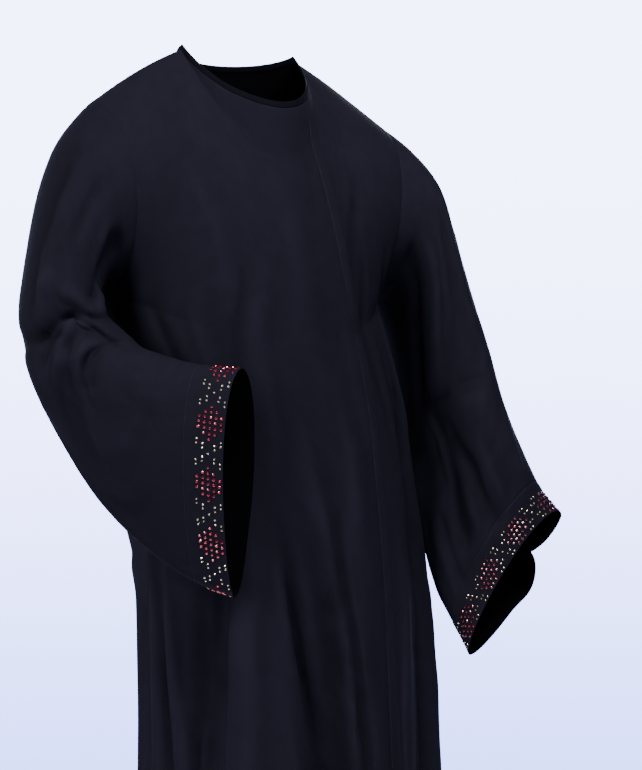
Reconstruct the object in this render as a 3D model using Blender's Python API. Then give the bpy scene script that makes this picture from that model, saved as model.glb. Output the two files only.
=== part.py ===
"""A long open-front abaya in plain black crepe, worn: its pieces as thin closed walls.

The garment is 142 cm long from the neck and faces -Y, with +Z up. The origin is the middle of the base
of the neck, where the wearer carries it. Tables are in centimetres, angles in degrees, and the walls are
built in metres. "Right" and "left" are the wearer's, so the right side is at -X.
"""

import math
from collections import defaultdict, namedtuple

import bmesh
import bpy
from mathutils import Vector

CM = 0.01
COLLECTION_NAME = "abaya"

# Cloth and seams, in metres
WALL = 0.002
SEAM_GAP = 0.0004
LAP_RISE = 0.0028
SAME_PLACE = 2e-5

# Neck, shoulder and armhole, in centimetres
NECK_HALF_WIDTH = 8.4
NECK_SEAM_Y = 0.75
FRONT_NECK_DROP = 8.0
FRONT_NECK_DEPTH = 10.0
BACK_NECK_DROP = 1.0
BACK_NECK_DEPTH = 6.8
NECK_SHARE = 0.32
SHOULDER_BOW = 0.6
ARMHOLE_X = 20.0
ARMHOLE_LEAN = 1.0
ARMHOLE_HOLLOW = 0.7
ARMHOLE_Z = -19.5
ARMHOLE_HALF_HEIGHT = 11.5
ARMHOLE_FRONT = 9.2
ARMHOLE_BACK = 8.7

# Front lap: the right front ends in a narrow band, over the hidden edge of the left front
BAND_WIDTH = 1.5
LAP_WIDTH = 7.5
LAP_RAMP = 0.12
BINDING_HEIGHT = 0.9
BINDING_LEAN = 0.35

# Bezier handles of a round quarter and of a stretch that runs straight on
ROUND = 0.552
STRAIGHT = 0.4
HANDLE_DROP = 0.2

# The neck and shoulder line fades into the rows below it over a widening stretch of each row
TOP_BLUR = 0.09
TOP_BLUR_LEVELS = 2.0
TOP_BLUR_STEPS = (-1.0, -0.5, 0.0, 0.5, 1.0)

# A fold grows over the first part of its run. One step of place is a quarter of the body's girth.
FOLD_START = 0.3
QUARTER_GIRTH = 34.0

# The cloth between two rings of a sleeve, and the cloth in one degree round it
RING_STEP = 5.5
AROUND_STEP = 0.14

PROBE = 0.01
SEARCH_LIMIT = 0.9
SEARCH_STEPS = 24
SHARP_ANGLE = math.radians(50)

# One row for each level from the shoulder seam to the hem. front and back give the middle of the row,
# drift and reach the middle and the half width of the section, side the side seam, turn how far the
# cloth faces sideways at its outer end, rise how much of the neck and shoulder line is in the row, and
# edge the x of the right front's edge.
Level = namedtuple("Level", "front_y front_z back_y back_z drift reach side_y side_z turn rise edge")
LEVELS = [
    Level(-9.25, -8.0, 7.55, -1.0, 0.0, 19.0, 0.75, -31, 0, 1.00, 5.5),
    Level(-9.9, -11.0, 8.3, -5.0, 0.0, 19.0, 0.75, -31, 12, 0.74, 6.0),
    Level(-10.7, -14.8, 9.0, -9.5, 0.0, 19.0, 0.75, -31, 22, 0.50, 6.7),
    Level(-11.5, -19.2, 9.5, -14.5, 0.0, 19.0, 0.75, -31, 32, 0.30, 7.5),
    Level(-12.2, -23.8, 9.8, -20.0, 0.0, 19.0, 0.75, -31, 45, 0.15, 8.3),
    Level(-12.8, -28.6, 9.8, -26.0, 0.0, 19.0, 0.75, -31, 60, 0.06, 9.1),
    Level(-13.3, -33.4, 9.6, -32.0, 0.0, 19.0, 0.75, -31, 75, 0.02, 10.1),
    Level(-13.7, -38.0, 9.3, -38.0, 0.0, 19.0, 0.75, -31, 88, 0.00, 11.0),
    Level(-14.8, -47.0, 9.0, -47.0, 2.2, 19.4, -0.8, -42, 90, 0.00, 12.0),
    Level(-16.2, -57.0, 8.8, -57.0, 3.5, 19.5, -2.8, -54, 90, 0.00, 12.1),
    Level(-17.8, -68.0, 8.8, -68.0, 4.2, 19.5, -4.2, -66, 90, 0.00, 11.9),
    Level(-19.2, -80.0, 9.2, -80.0, 4.3, 19.4, -5.0, -79, 90, 0.00, 11.6),
    Level(-20.6, -94.0, 9.7, -94.0, 4.3, 19.5, -5.5, -93.5, 90, 0.00, 11.4),
    Level(-21.8, -110.0, 10.4, -110.0, 4.4, 20.3, -5.8, -110, 90, 0.00, 11.3),
    Level(-23.0, -126.0, 11.2, -126.0, 4.5, 21.2, -6.0, -126, 90, 0.00, 11.2),
    Level(-24.2, -142.0, 12.0, -142.0, 4.6, 22.2, -6.2, -142, 90, 0.00, 11.1),
]
ARMPIT_LEVEL = 7

# Folds of the body, each a soft ridge or valley that runs down. place is where it lies round the body:
# -1 at the right side seam, 0 in the middle of the front, 1 at the left side seam and 2 in the middle of
# the back. Widths and heights are in centimetres, and a valley has a negative height.
# kept is the share of the height that is left at the bottom end: a fold that keeps none ends there.
Fold = namedtuple("Fold", "top_z top_place bottom_z bottom_place top_width bottom_width height kept")
FOLDS = [
    Fold(-56, -0.96, -142, -0.94, 3.0, 6.0, 0.8, 1),
    Fold(-60, -0.89, -142, -0.86, 3.0, 5.0, -0.7, 1),
    Fold(-58, -0.86, -142, -0.77, 3.0, 6.0, 0.9, 1),
    Fold(-50, -0.45, -142, -0.70, 3.0, 6.5, -1.5, 1),
    Fold(-52, -0.36, -142, -0.54, 5.0, 9.0, 1.2, 1),
    Fold(-62, -0.30, -142, -0.16, 3.0, 5.0, 0.7, 1),
    Fold(-58, -0.25, -142, -0.04, 2.5, 4.5, -1.2, 1),
    Fold(-44, -0.07, -142, 0.06, 3.0, 5.5, 0.8, 1),
    Fold(-48, 0.02, -142, 0.16, 3.0, 5.0, -0.8, 1),
    Fold(-46, 0.12, -92, 0.10, 4.0, 4.5, 0.4, 0),
    Fold(-56, 0.34, -142, 0.22, 5.0, 6.5, 0.6, 1),
    Fold(-30, 0.60, -142, 0.42, 3.0, 6.5, -1.2, 1),
    Fold(-48, 0.76, -142, 0.62, 3.0, 7.5, 1.1, 1),
    Fold(-40, 0.90, -142, 0.82, 3.0, 6.5, -1.0, 1),
    Fold(-66, 1.02, -142, 1.00, 3.5, 6.5, 0.7, 1),
    Fold(-54, 1.20, -142, 1.17, 4.0, 6.5, -0.9, 1),
    Fold(-36, 1.35, -142, 1.36, 4.0, 8.0, 1.2, 1),
    Fold(-42, 1.52, -142, 1.56, 4.0, 7.0, -1.1, 1),
    Fold(-50, 1.70, -142, 1.75, 4.0, 7.5, 0.9, 1),
    Fold(-62, 1.88, -142, 1.92, 4.0, 6.0, -0.8, 1),
    Fold(-34, 2.08, -142, 2.12, 5.0, 8.5, 1.2, 1),
    Fold(-46, 2.26, -142, 2.31, 4.0, 6.5, -1.0, 1),
    Fold(-38, 2.44, -142, 2.50, 4.0, 7.5, 1.0, 1),
    Fold(-44, 2.62, -142, 2.67, 4.0, 7.0, -1.1, 1),
    Fold(-40, 2.78, -142, 2.84, 4.0, 6.5, 0.9, 1),
    Fold(-36, 2.92, -66, 2.94, 6.0, 5.0, 2.6, 0),
]

# One row for each ring of a sleeve, from just past the armhole to the cuff: its outer and inner line,
# the bearing that its near side faces (from the front, towards the wearer's right), how far that side
# tips up, how full the near and far sides are, and how far the fullness leans to the outer line.
Ring = namedtuple("Ring", "outer inner bearing tip near far lean")
RIGHT_RINGS = [
    Ring((-24.3, 1.8, -12.5), (-20.7, 0.3, -31.5), 3, 0, 9.3, 8.2, 0.1),
    Ring((-26.8, 2.8, -19.5), (-21.5, -1.2, -32.7), 8, 0, 9.0, 7.2, 0.2),
    Ring((-28.4, 3.6, -27.0), (-21.3, -3.6, -34.2), 18, 0, 8.2, 6.4, 0.2),
    Ring((-29.2, 3.8, -34.0), (-20.8, -6.2, -35.8), 30, 0, 7.3, 5.6, 0.15),
    Ring((-29.0, 1.6, -40.5), (-20.0, -8.2, -37.3), 38, 0, 6.2, 5.0, 0.0),
    Ring((-27.5, -1.8, -47.0), (-19.4, -9.9, -38.5), 42, 0, 5.6, 4.5, -0.15),
    Ring((-24.5, -6.3, -54.8), (-18.1, -11.9, -39.3), 45, 0, 4.8, 4.0, -0.3),
    Ring((-21.0, -11.2, -60.8), (-16.1, -14.4, -40.2), 49, 0, 4.1, 3.5, -0.35),
    Ring((-16.3, -15.2, -65.3), (-13.8, -17.0, -40.8), 58, 0, 3.5, 3.1, -0.3),
    Ring((-11.4, -18.8, -67.7), (-10.8, -19.2, -41.1), 68, 0, 3.0, 2.7, -0.25),
]
LEFT_RINGS = [
    Ring((23.6, -1.6, -10.8), (21.7, 0.8, -31.2), 4, 0, 9.0, 8.4, 0.0),
    Ring((26.1, -4.8, -15.5), (23.4, 0.6, -34.2), 8, 2, 8.6, 8.0, 0.0),
    Ring((27.5, -7.1, -22.5), (24.3, -0.2, -40.2), 12, 4, 8.0, 7.4, 0.1),
    Ring((29.1, -9.2, -30.5), (24.5, -1.6, -47.0), 16, 6, 7.4, 6.8, 0.2),
    Ring((30.8, -11.1, -38.0), (24.2, -3.8, -53.5), 19, 8, 6.8, 6.4, 0.3),
    Ring((32.2, -12.9, -45.2), (23.6, -7.5, -60.0), 24, 13, 6.3, 5.4, 0.35),
    Ring((34.2, -15.0, -52.0), (22.4, -11.8, -66.5), 31, 20, 5.9, 4.7, 0.35),
    Ring((36.2, -17.0, -57.5), (23.2, -15.0, -72.8), 40, 33, 5.3, 4.0, 0.3),
    Ring((37.8, -18.9, -60.3), (24.2, -17.0, -77.5), 50, 48, 4.6, 3.2, 0.1),
]

# Creases of the sleeves, each a straight stretch from one place to another. ring counts the rings from
# the armhole, and around is 0 on the outer line, 90 on the near side and 180 on the inner line.
Crease = namedtuple("Crease", "from_ring from_around to_ring to_around width height")
RIGHT_CREASES = [
    Crease(4.6, 8, 4.5, 68, 2.6, -0.6),
    Crease(4.5, 68, 4.0, 104, 2.6, -0.8),
    Crease(4.0, 104, 5.2, 148, 2.6, -0.7),
    Crease(5.4, 60, 5.0, 130, 3.0, 0.5),
    Crease(6.1, 96, 5.2, 128, 2.4, -0.5),
    Crease(3.3, 60, 3.5, 118, 3.0, 0.4),
    Crease(0.8, 118, 3.0, 124, 3.0, -0.6),
    Crease(4.5, 340, 4.0, 280, 2.6, -0.6),
    Crease(4.0, 270, 5.0, 225, 2.6, -0.7),
    Crease(5.4, 310, 5.1, 240, 3.0, 0.5),
]
LEFT_CREASES = [
    Crease(4.8, 112, 7.6, 84, 3.0, -0.8),
    Crease(4.5, 126, 7.2, 117, 3.0, -0.7),
    Crease(5.2, 112, 7.8, 101, 2.6, 0.5),
    Crease(1.0, 120, 4.2, 138, 3.4, -0.7),
    Crease(2.4, 66, 4.7, 60, 4.0, -0.4),
    Crease(1.4, 232, 5.2, 244, 3.4, -0.7),
    Crease(3.0, 296, 7.2, 262, 3.4, -0.6),
    Crease(6.0, 286, 9.4, 280, 3.4, 1.0),
    Crease(8.1, 318, 9.6, 317, 5.6, -4.8),
    Crease(8.4, 343, 9.6, 343, 3.0, -0.9),
]

# How finely each piece is divided
YOKE_STEPS = 14
SKIRT_STEPS = 13
SHOULDER_COLUMNS = 12
NECK_COLUMNS = 6
LAP_COLUMNS = 4
SIDE_LAP_COLUMNS = 4
BACK_NECK_COLUMNS = 12
SLEEVE_STEPS = 23

CLOTH_BLACK = (0.011, 0.011, 0.016, 1.0)
BINDING_BLACK = (0.008, 0.008, 0.012, 1.0)
CLOTH_ROUGHNESS = 0.75


def clear_scene():
    """Remove whatever the scene holds."""
    for thing in list(bpy.data.objects):
        bpy.data.objects.remove(thing, do_unlink=True)


def spline(values, place):
    """Read a smooth curve through evenly spaced values at a fractional place."""
    last = len(values) - 1
    place = min(max(place, 0.0), float(last))
    start = min(int(place), last - 1)
    share = place - start
    first, second = values[start], values[start + 1]
    slope_in = (second - values[max(start - 1, 0)]) * 0.5
    slope_out = (values[min(start + 2, last)] - first) * 0.5
    square, cube = share * share, share ** 3
    return (first * (2 * cube - 3 * square + 1) + slope_in * (cube - 2 * square + share)
            + second * (3 * square - 2 * cube) + slope_out * (cube - square))


def ease(share):
    """Go from 0 to 1 with flat ends."""
    share = min(max(share, 0.0), 1.0)
    return share * share * (3 - 2 * share)


def mix(first, second, share):
    """The number that lies a share of the way from the first to the second."""
    return first + (second - first) * share


def level_value(column, level):
    """Read one column of the table of levels at a fractional level."""
    return spline([getattr(row, column) for row in LEVELS], level)


def armhole_point(side, turn):
    """A point of the armhole seam: turn is 0 at the shoulder, 90 at the chest and 180 at the armpit."""
    angle = math.radians(turn)
    depth = ARMHOLE_FRONT if math.sin(angle) > 0 else ARMHOLE_BACK
    x = ARMHOLE_X + ARMHOLE_LEAN * math.cos(angle) - ARMHOLE_HOLLOW * math.sin(angle) ** 2
    return Vector((side * x, NECK_SEAM_Y - depth * math.sin(angle),
                   ARMHOLE_Z + ARMHOLE_HALF_HEIGHT * math.cos(angle)))


def outer_point(face, side, level):
    """The outer end of a row: on the armhole down to the armpit, then on the side seam."""
    if level <= ARMPIT_LEVEL:
        return armhole_point(side, -face * 180.0 * level / ARMPIT_LEVEL)
    x = level_value("drift", level) + side * level_value("reach", level)
    return Vector((x, level_value("side_y", level), level_value("side_z", level)))


def plain_row(face, across, level):
    """A point of a smooth row, before the neck and shoulder line is worked into it."""
    side = 1.0 if across >= 0 else -1.0
    share = abs(across)
    column = "front" if face < 0 else "back"
    middle = Vector((level_value("drift", level), level_value(column + "_y", level),
                     level_value(column + "_z", level)))
    outer = outer_point(face, side, level)
    turn = math.radians(level_value("turn", level))
    middle_handle = Vector((ROUND * (outer.x - middle.x), 0.0, 0.0))
    outer_handle = Vector((STRAIGHT * math.cos(turn) * (middle.x - outer.x),
                           ROUND * math.sin(turn) * (middle.y - outer.y),
                           HANDLE_DROP * (middle.z - outer.z)))
    rest = 1.0 - share
    return (middle * rest ** 3 + (middle + middle_handle) * (3 * rest * rest * share)
            + (outer + outer_handle) * (3 * rest * share * share) + outer * share ** 3)


def top_line(face, across):
    """The neckline in the middle and the shoulder seam on each side of it."""
    side = 1.0 if across >= 0 else -1.0
    share = abs(across)
    if share < NECK_SHARE:
        angle = 0.5 * math.pi * share / NECK_SHARE
        drop = FRONT_NECK_DROP if face < 0 else BACK_NECK_DROP
        depth = FRONT_NECK_DEPTH if face < 0 else BACK_NECK_DEPTH
        return Vector((side * NECK_HALF_WIDTH * math.sin(angle),
                       NECK_SEAM_Y + face * depth * math.cos(angle), -drop * math.cos(angle)))
    along = (share - NECK_SHARE) / (1.0 - NECK_SHARE)
    point = Vector((side * NECK_HALF_WIDTH, NECK_SEAM_Y, 0.0)).lerp(armhole_point(side, 0.0), along)
    point.z += SHOULDER_BOW * math.sin(math.pi * along)
    return point


def fold_height(place, z):
    """How far the folds move the body's cloth out at a place round it and a height."""
    height = 0.0
    for fold in FOLDS:
        down = (fold.top_z - z) / (fold.top_z - fold.bottom_z)
        if down <= 0.0 or (down >= 1.0 and not fold.kept):
            continue
        width = mix(fold.top_width, fold.bottom_width, min(down, 1.0))
        away = (place - mix(fold.top_place, fold.bottom_place, down) + 2.0) % 4.0 - 2.0
        away *= QUARTER_GIRTH
        growth = ease(down / FOLD_START)
        growth *= mix(1.0, fold.kept, ease((down - FOLD_START) / (1.0 - FOLD_START)))
        height += fold.height * growth * math.exp(-(away / (0.5 * width)) ** 2)
    return height


def body_point(face, across, level):
    """A point of the body: face is -1 in front and 1 behind, across is -1 at the right side, 1 at the left."""
    point = plain_row(face, across, level)
    rise = level_value("rise", level)
    if rise > 0.0:
        blur = TOP_BLUR * min(level, TOP_BLUR_LEVELS) * (1.0 - across ** 4)
        top = Vector((0.0, 0.0, 0.0))
        for step in TOP_BLUR_STEPS:
            top += top_line(face, min(max(across + blur * step, -1.0), 1.0)) / len(TOP_BLUR_STEPS)
        point += rise * (top - plain_row(face, across, 0.0))
    place = across if face < 0 else 2.0 - across
    front_y, back_y = level_value("front_y", level), level_value("back_y", level)
    middle_y, half_depth = 0.5 * (back_y + front_y), 0.5 * (back_y - front_y)
    outward = Vector(((point.x - level_value("drift", level)) / level_value("reach", level) ** 2,
                      (point.y - middle_y) / half_depth ** 2, 0.0)).normalized()
    return point + outward * fold_height(place, point.z)


def across_at(x, level):
    """The place across the front, at a level, that lies at x."""
    low, high = -SEARCH_LIMIT, SEARCH_LIMIT
    for _ in range(SEARCH_STEPS):
        middle = 0.5 * (low + high)
        if plain_row(-1, middle, level).x < x:
            low = middle
        else:
            high = middle
    return 0.5 * (low + high)


def sleeve_rings(side, rings):
    """The rings of a sleeve with the armhole as its first ring."""
    armhole = Ring(tuple(armhole_point(side, 0.0)), tuple(armhole_point(side, 180.0)), 0, 0,
                   ARMHOLE_FRONT, ARMHOLE_BACK, 0.0)
    return [armhole] + rings


def ring_value(rings, column, place):
    """Read one column of a table of rings at a fractional ring, as a number or a point."""
    values = [getattr(ring, column) for ring in rings]
    if isinstance(values[0], tuple):
        values = [Vector(value) for value in values]
    return spline(values, place)


def crease_height(creases, place, around):
    """How far the creases move a sleeve's cloth out at a fractional ring and an angle round it."""
    height = 0.0
    for crease in creases:
        run = Vector(((crease.to_ring - crease.from_ring) * RING_STEP,
                      (crease.to_around - crease.from_around) * AROUND_STEP))
        here = Vector(((place - crease.from_ring) * RING_STEP,
                       (around - crease.from_around) * AROUND_STEP))
        along = min(max(here.dot(run) / run.length_squared, 0.0), 1.0)
        away = (here - run * along).length
        height += crease.height * math.exp(-(away / (0.5 * crease.width)) ** 2)
    return height


def sleeve_point(side, rings, creases, around, place):
    """A point of a sleeve: around is 0 on its outer line, 90 on its near side, 180 on its inner line."""
    outer = ring_value(rings, "outer", place)
    inner = ring_value(rings, "inner", place)
    bearing = math.radians(ring_value(rings, "bearing", place))
    tip = math.radians(ring_value(rings, "tip", place))
    facing = Vector((-math.sin(bearing) * math.cos(tip), -math.cos(bearing) * math.cos(tip),
                     math.sin(tip)))
    angle = math.radians(around)
    half_chord = (outer - inner) * 0.5
    fullness = ring_value(rings, "near" if math.sin(angle) > 0 else "far", place)
    fullness *= 1.0 + ring_value(rings, "lean", place) * math.cos(angle)
    point = (outer + inner) * 0.5 + half_chord * math.cos(angle) + facing * fullness * math.sin(angle)
    point.x -= side * ARMHOLE_HOLLOW * max(0.0, 1.0 - place) * math.sin(angle) ** 2
    outward = (half_chord.normalized() * math.cos(angle) + facing * math.sin(angle)).normalized()
    return point + outward * crease_height(creases, place, around)


def body_level(step):
    """The level of a row of the body's sheets: the rows above the armpit match the sleeve's columns."""
    if step <= YOKE_STEPS:
        return ARMPIT_LEVEL * step / YOKE_STEPS
    return ARMPIT_LEVEL + (len(LEVELS) - 1 - ARMPIT_LEVEL) * (step - YOKE_STEPS) / SKIRT_STEPS


def front_stops(level):
    """Where the lap's lines cross a row of the front: the hidden edge, the band's seam and the edge."""
    edge = level_value("edge", level)
    return [across_at(x, level) for x in (edge - LAP_WIDTH, edge - BAND_WIDTH, edge)]


def shoulder_stop(level):
    """The column of the left front that starts at the neck end of its shoulder seam."""
    top_edge = front_stops(0.0)[2]
    edge = front_stops(level)[2]
    return mix(edge, 1.0, (NECK_SHARE - top_edge) / (1.0 - top_edge))


def spread(stops, counts):
    """Divide the stretches between stops into equal columns."""
    columns = [stops[0]]
    for start, end, count in zip(stops, stops[1:], counts):
        columns += [mix(start, end, step / count) for step in range(1, count + 1)]
    return columns


def front_sheet(stops_at, counts, lifted):
    """Rows of points of a piece of the front, lifted over the left front where it laps."""
    sheet = []
    for step in range(YOKE_STEPS + SKIRT_STEPS + 1):
        level = body_level(step)
        under = front_stops(level)[0]
        row = []
        for across in spread(stops_at(level), counts):
            point = body_point(-1, across, level)
            if lifted:
                sideways = body_point(-1, across + PROBE, level) - body_point(-1, across - PROBE, level)
                down = (body_point(-1, across, min(level + PROBE, len(LEVELS) - 1))
                        - body_point(-1, across, max(level - PROBE, 0.0)))
                lift = LAP_RISE / CM * ease((across - under) / LAP_RAMP + 1.0)
                point += down.cross(sideways).normalized() * lift
            row.append(point * CM)
        sheet.append(row)
    return sheet


def back_sheet():
    """Rows of points of the back, from the left side seam to the right one."""
    stops = [1.0, NECK_SHARE, -NECK_SHARE, -1.0]
    columns = spread(stops, [SHOULDER_COLUMNS, BACK_NECK_COLUMNS, SHOULDER_COLUMNS])
    return [[body_point(1, across, body_level(step)) * CM for across in columns]
            for step in range(YOKE_STEPS + SKIRT_STEPS + 1)]


def sleeve_sheet(side, table, creases):
    """Rings of points of a sleeve, each closed by a last point that repeats the first."""
    rings = sleeve_rings(side, table)
    sheet = []
    for step in range(SLEEVE_STEPS + 1):
        place = (len(rings) - 1) * step / SLEEVE_STEPS
        turns = [180.0 * column / YOKE_STEPS for column in range(2 * YOKE_STEPS)] + [0.0]
        ring = [sleeve_point(side, rings, creases, around, place) * CM for around in turns]
        sheet.append(ring if side < 0 else ring[::-1])
    return sheet


def binding_sheet(neckline):
    """Two rows of points of the neck binding, which stands on the neckline."""
    upper = []
    for point in neckline:
        inward = Vector((-point.x, NECK_SEAM_Y * CM - point.y, 0.0)).normalized()
        stand = (inward * BINDING_LEAN + Vector((0.0, 0.0, 1.0))).normalized()
        upper.append(point + stand * BINDING_HEIGHT * CM)
    return [upper, list(neckline)]


def key_of(point):
    """A name for a place, the same for points that meet at a seam."""
    return tuple(round(value / SAME_PLACE) for value in point)


def shared_normals(sheets):
    """Outward normals by place, averaged over all the pieces that meet there."""
    normals = defaultdict(lambda: Vector((0.0, 0.0, 0.0)))
    for sheet in sheets.values():
        for above, below in zip(sheet, sheet[1:]):
            for i in range(len(above) - 1):
                facing = (below[i + 1] - above[i]).cross(above[i + 1] - below[i])
                for point in (above[i], above[i + 1], below[i], below[i + 1]):
                    normals[key_of(point)] += facing
    return {place: normal.normalized() for place, normal in normals.items()}


def rim_directions(sheet):
    """For each point on a sheet's rim, the direction from it into the sheet."""
    last_row, last_column = len(sheet) - 1, len(sheet[0]) - 1
    closed = key_of(sheet[0][0]) == key_of(sheet[0][last_column])
    directions = {}
    for j, row in enumerate(sheet):
        for i, point in enumerate(row):
            on_side = i in (0, last_column) and not closed
            if not on_side and j not in (0, last_row):
                continue
            inner_row = min(max(j, 1), last_row - 1) if last_row > 1 else last_row - j
            inner_column = min(max(i, 1), last_column - 1) if on_side else i
            directions[key_of(point)] = (sheet[inner_row][inner_column] - point).normalized()
    return directions


def seam_shift(name, place, rims):
    """How far a rim point moves back so that its piece stays half a gap short of the seam."""
    own = rims[name].get(place)
    others = [rim[place] for other, rim in rims.items() if other != name and place in rim]
    if own is None or not others:
        return Vector((0.0, 0.0, 0.0))
    apart = own * len(others) - sum(others, Vector((0.0, 0.0, 0.0)))
    return apart.normalized() * (0.5 * SEAM_GAP)


def cloth_material(name, colour):
    """A matt black cloth."""
    material = bpy.data.materials.new(name)
    material.use_nodes = True
    shader = material.node_tree.nodes["Principled BSDF"]
    shader.inputs["Base Color"].default_value = colour
    shader.inputs["Roughness"].default_value = CLOTH_ROUGHNESS
    shader.inputs["Metallic"].default_value = 0.0
    return material


def build_wall(name, sheet, normals, rims, collection, colour):
    """Make a piece: its sheet of points as a grid, given a wall outwards from it."""
    rows, columns = len(sheet) - 1, len(sheet[0]) - 1
    places = [key_of(point) for row in sheet for point in row]
    body = bmesh.new()
    spot = body.verts.layers.int.new("spot")
    grid = bmesh.ops.create_grid(body, x_segments=columns, y_segments=rows, size=1.0)
    points = [point for row in sheet for point in row]
    for index, vertex in enumerate(grid["verts"]):
        vertex.co = points[index] + seam_shift(name, places[index], rims)
        vertex[spot] = index
    bmesh.ops.remove_doubles(body, verts=body.verts[:], dist=SAME_PLACE)
    grown = bmesh.ops.extrude_face_region(body, geom=body.faces[:])
    for vertex in grown["geom"]:
        if isinstance(vertex, bmesh.types.BMVert):
            vertex.co += normals[places[vertex[spot]]] * WALL
    bmesh.ops.triangulate(body, faces=body.faces[:], quad_method="SHORT_EDGE")
    bmesh.ops.recalc_face_normals(body, faces=body.faces[:])
    mesh = bpy.data.meshes.new(name)
    body.to_mesh(mesh)
    body.free()
    mesh.shade_smooth()
    mesh.set_sharp_from_angle(angle=SHARP_ANGLE)
    mesh.materials.append(cloth_material(name, colour))
    piece = bpy.data.objects.new(name, mesh)
    collection.objects.link(piece)
    return piece


def main():
    """Build the abaya."""
    clear_scene()
    collection = bpy.data.collections.new(COLLECTION_NAME)
    bpy.context.scene.collection.children.link(collection)

    right = front_sheet(lambda level: [-1.0, -NECK_SHARE] + front_stops(level)[:2],
                        [SHOULDER_COLUMNS, NECK_COLUMNS, LAP_COLUMNS], True)
    band = front_sheet(lambda level: front_stops(level)[1:], [1], True)
    left = front_sheet(lambda level: front_stops(level) + [shoulder_stop(level), 1.0],
                       [LAP_COLUMNS, 1, SIDE_LAP_COLUMNS, SHOULDER_COLUMNS], False)
    back = back_sheet()
    left_neck = left[0][:LAP_COLUMNS + SIDE_LAP_COLUMNS + 2]
    back_neck = back[0][SHOULDER_COLUMNS:SHOULDER_COLUMNS + BACK_NECK_COLUMNS + 1]
    right_neck = right[0][SHOULDER_COLUMNS:]
    neckline = left_neck + back_neck[1:-1] + right_neck + [band[0][1]]

    sheets = {
        "front_right": right,
        "front_left": left,
        "front_band": band,
        "back": back,
        "sleeve_right": sleeve_sheet(-1, RIGHT_RINGS, RIGHT_CREASES),
        "sleeve_left": sleeve_sheet(1, LEFT_RINGS, LEFT_CREASES),
        "neck_binding": binding_sheet(neckline),
    }
    normals = shared_normals(sheets)
    rims = {name: rim_directions(sheet) for name, sheet in sheets.items()}
    for name, sheet in sheets.items():
        colour = BINDING_BLACK if name == "neck_binding" else CLOTH_BLACK
        build_wall(name, sheet, normals, rims, collection, colour)


if __name__ == "__main__":
    main()
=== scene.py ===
"""Cloth, seams, stitching and crystal trim of the abaya, with the studio round it.

The form's tables are in centimetres and degrees, as a pattern maker reads them, and every mesh is in metres.
"Right" and "left" are the wearer's, so the right side is at -X, and the front faces -Y.
"""

import logging
import math
from dataclasses import dataclass, field
from enum import Enum

import bmesh
import bpy
import numpy as np
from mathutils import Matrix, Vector


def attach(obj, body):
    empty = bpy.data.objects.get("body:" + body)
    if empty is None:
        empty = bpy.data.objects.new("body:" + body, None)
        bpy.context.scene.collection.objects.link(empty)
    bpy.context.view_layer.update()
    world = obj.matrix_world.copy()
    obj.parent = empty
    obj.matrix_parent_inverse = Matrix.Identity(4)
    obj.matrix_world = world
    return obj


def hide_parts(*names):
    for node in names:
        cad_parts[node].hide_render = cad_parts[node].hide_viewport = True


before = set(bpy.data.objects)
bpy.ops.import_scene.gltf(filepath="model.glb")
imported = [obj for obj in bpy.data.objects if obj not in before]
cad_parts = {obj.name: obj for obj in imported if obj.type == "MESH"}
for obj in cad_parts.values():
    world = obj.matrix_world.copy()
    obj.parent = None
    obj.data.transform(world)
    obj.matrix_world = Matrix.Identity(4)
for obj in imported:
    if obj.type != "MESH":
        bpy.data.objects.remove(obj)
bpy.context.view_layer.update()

LOG = logging.getLogger("abaya")
CM = 0.01
NO_REPEAT = 1e9
CLOTH_UV = "cloth"
CLOSE_SHARES = (0.16, 0.45)
FACING = 0.9
CUFF_LINE_POINTS = 601
BAND_LINE_POINTS = 1200
BAND_STITCH_COLUMN = 2.0

Array = np.ndarray
Point = tuple[float, float, float]
Colour = tuple[float, float, float, float]


class Side(Enum):
    """The wearer's two sides, by the sign of X."""

    RIGHT = -1
    LEFT = 1

    @property
    def label(self) -> str:
        """The side's word in the names of pieces."""
        return self.name.lower()


class Face(Enum):
    """The two faces of the body, by the sign of Y."""

    FRONT = -1
    BACK = 1


class Stone(Enum):
    """The two colours of crystal in the trim."""

    RED = "red"
    GOLD = "gold"


# ---------------------------------------------------------------- curves and noise


def spline(values: Array, place: Array) -> Array:
    """Read a smooth curve through evenly spaced values at fractional places.

    Args:
        values: One number or one point for each place.
        place: Fractional places, as an array of any shape.

    Returns:
        The numbers or points there.
    """
    last = len(values) - 1
    place = np.clip(place, 0.0, last)
    start = np.minimum(place.astype(int), last - 1)
    share = place - start
    if values.ndim > 1:
        share = share[..., None]
    first, second = values[start], values[start + 1]
    slope_in = 0.5 * (second - values[np.maximum(start - 1, 0)])
    slope_out = 0.5 * (values[np.minimum(start + 2, last)] - first)
    square, cube = share**2, share**3
    return (
        first * (2 * cube - 3 * square + 1)
        + slope_in * (cube - 2 * square + share)
        + second * (3 * square - 2 * cube)
        + slope_out * (cube - square)
    )


def ease(share: Array) -> Array:
    """Go from 0 to 1 with flat ends."""
    share = np.clip(share, 0.0, 1.0)
    return share * share * (3 - 2 * share)


def stacked(x: Array, y: Array, z: Array) -> Array:
    """Join three arrays of coordinates into points."""
    return np.stack(np.broadcast_arrays(x, y, z), axis=-1)


def unit(vectors: Array) -> Array:
    """Give each vector a length of one."""
    return vectors / np.maximum(np.linalg.norm(vectors, axis=-1, keepdims=True), 1e-12)


def waver(along: Array, wave: float, seed: float) -> Array:
    """A slow uneven wander between about -1 and 1.

    Args:
        along: The distance along a line.
        wave: The length of its longest wave, in the same unit.
        seed: Any number; each gives another wander.

    Returns:
        The wander at each distance.
    """
    turn = 2 * math.pi * along / wave
    return (
        0.5 * np.sin(turn + 1.7 * seed)
        + 0.3 * np.sin(1.83 * turn + 2.9 * seed + 1.0)
        + 0.2 * np.sin(3.41 * turn + 4.3 * seed + 2.0)
    )


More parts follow.
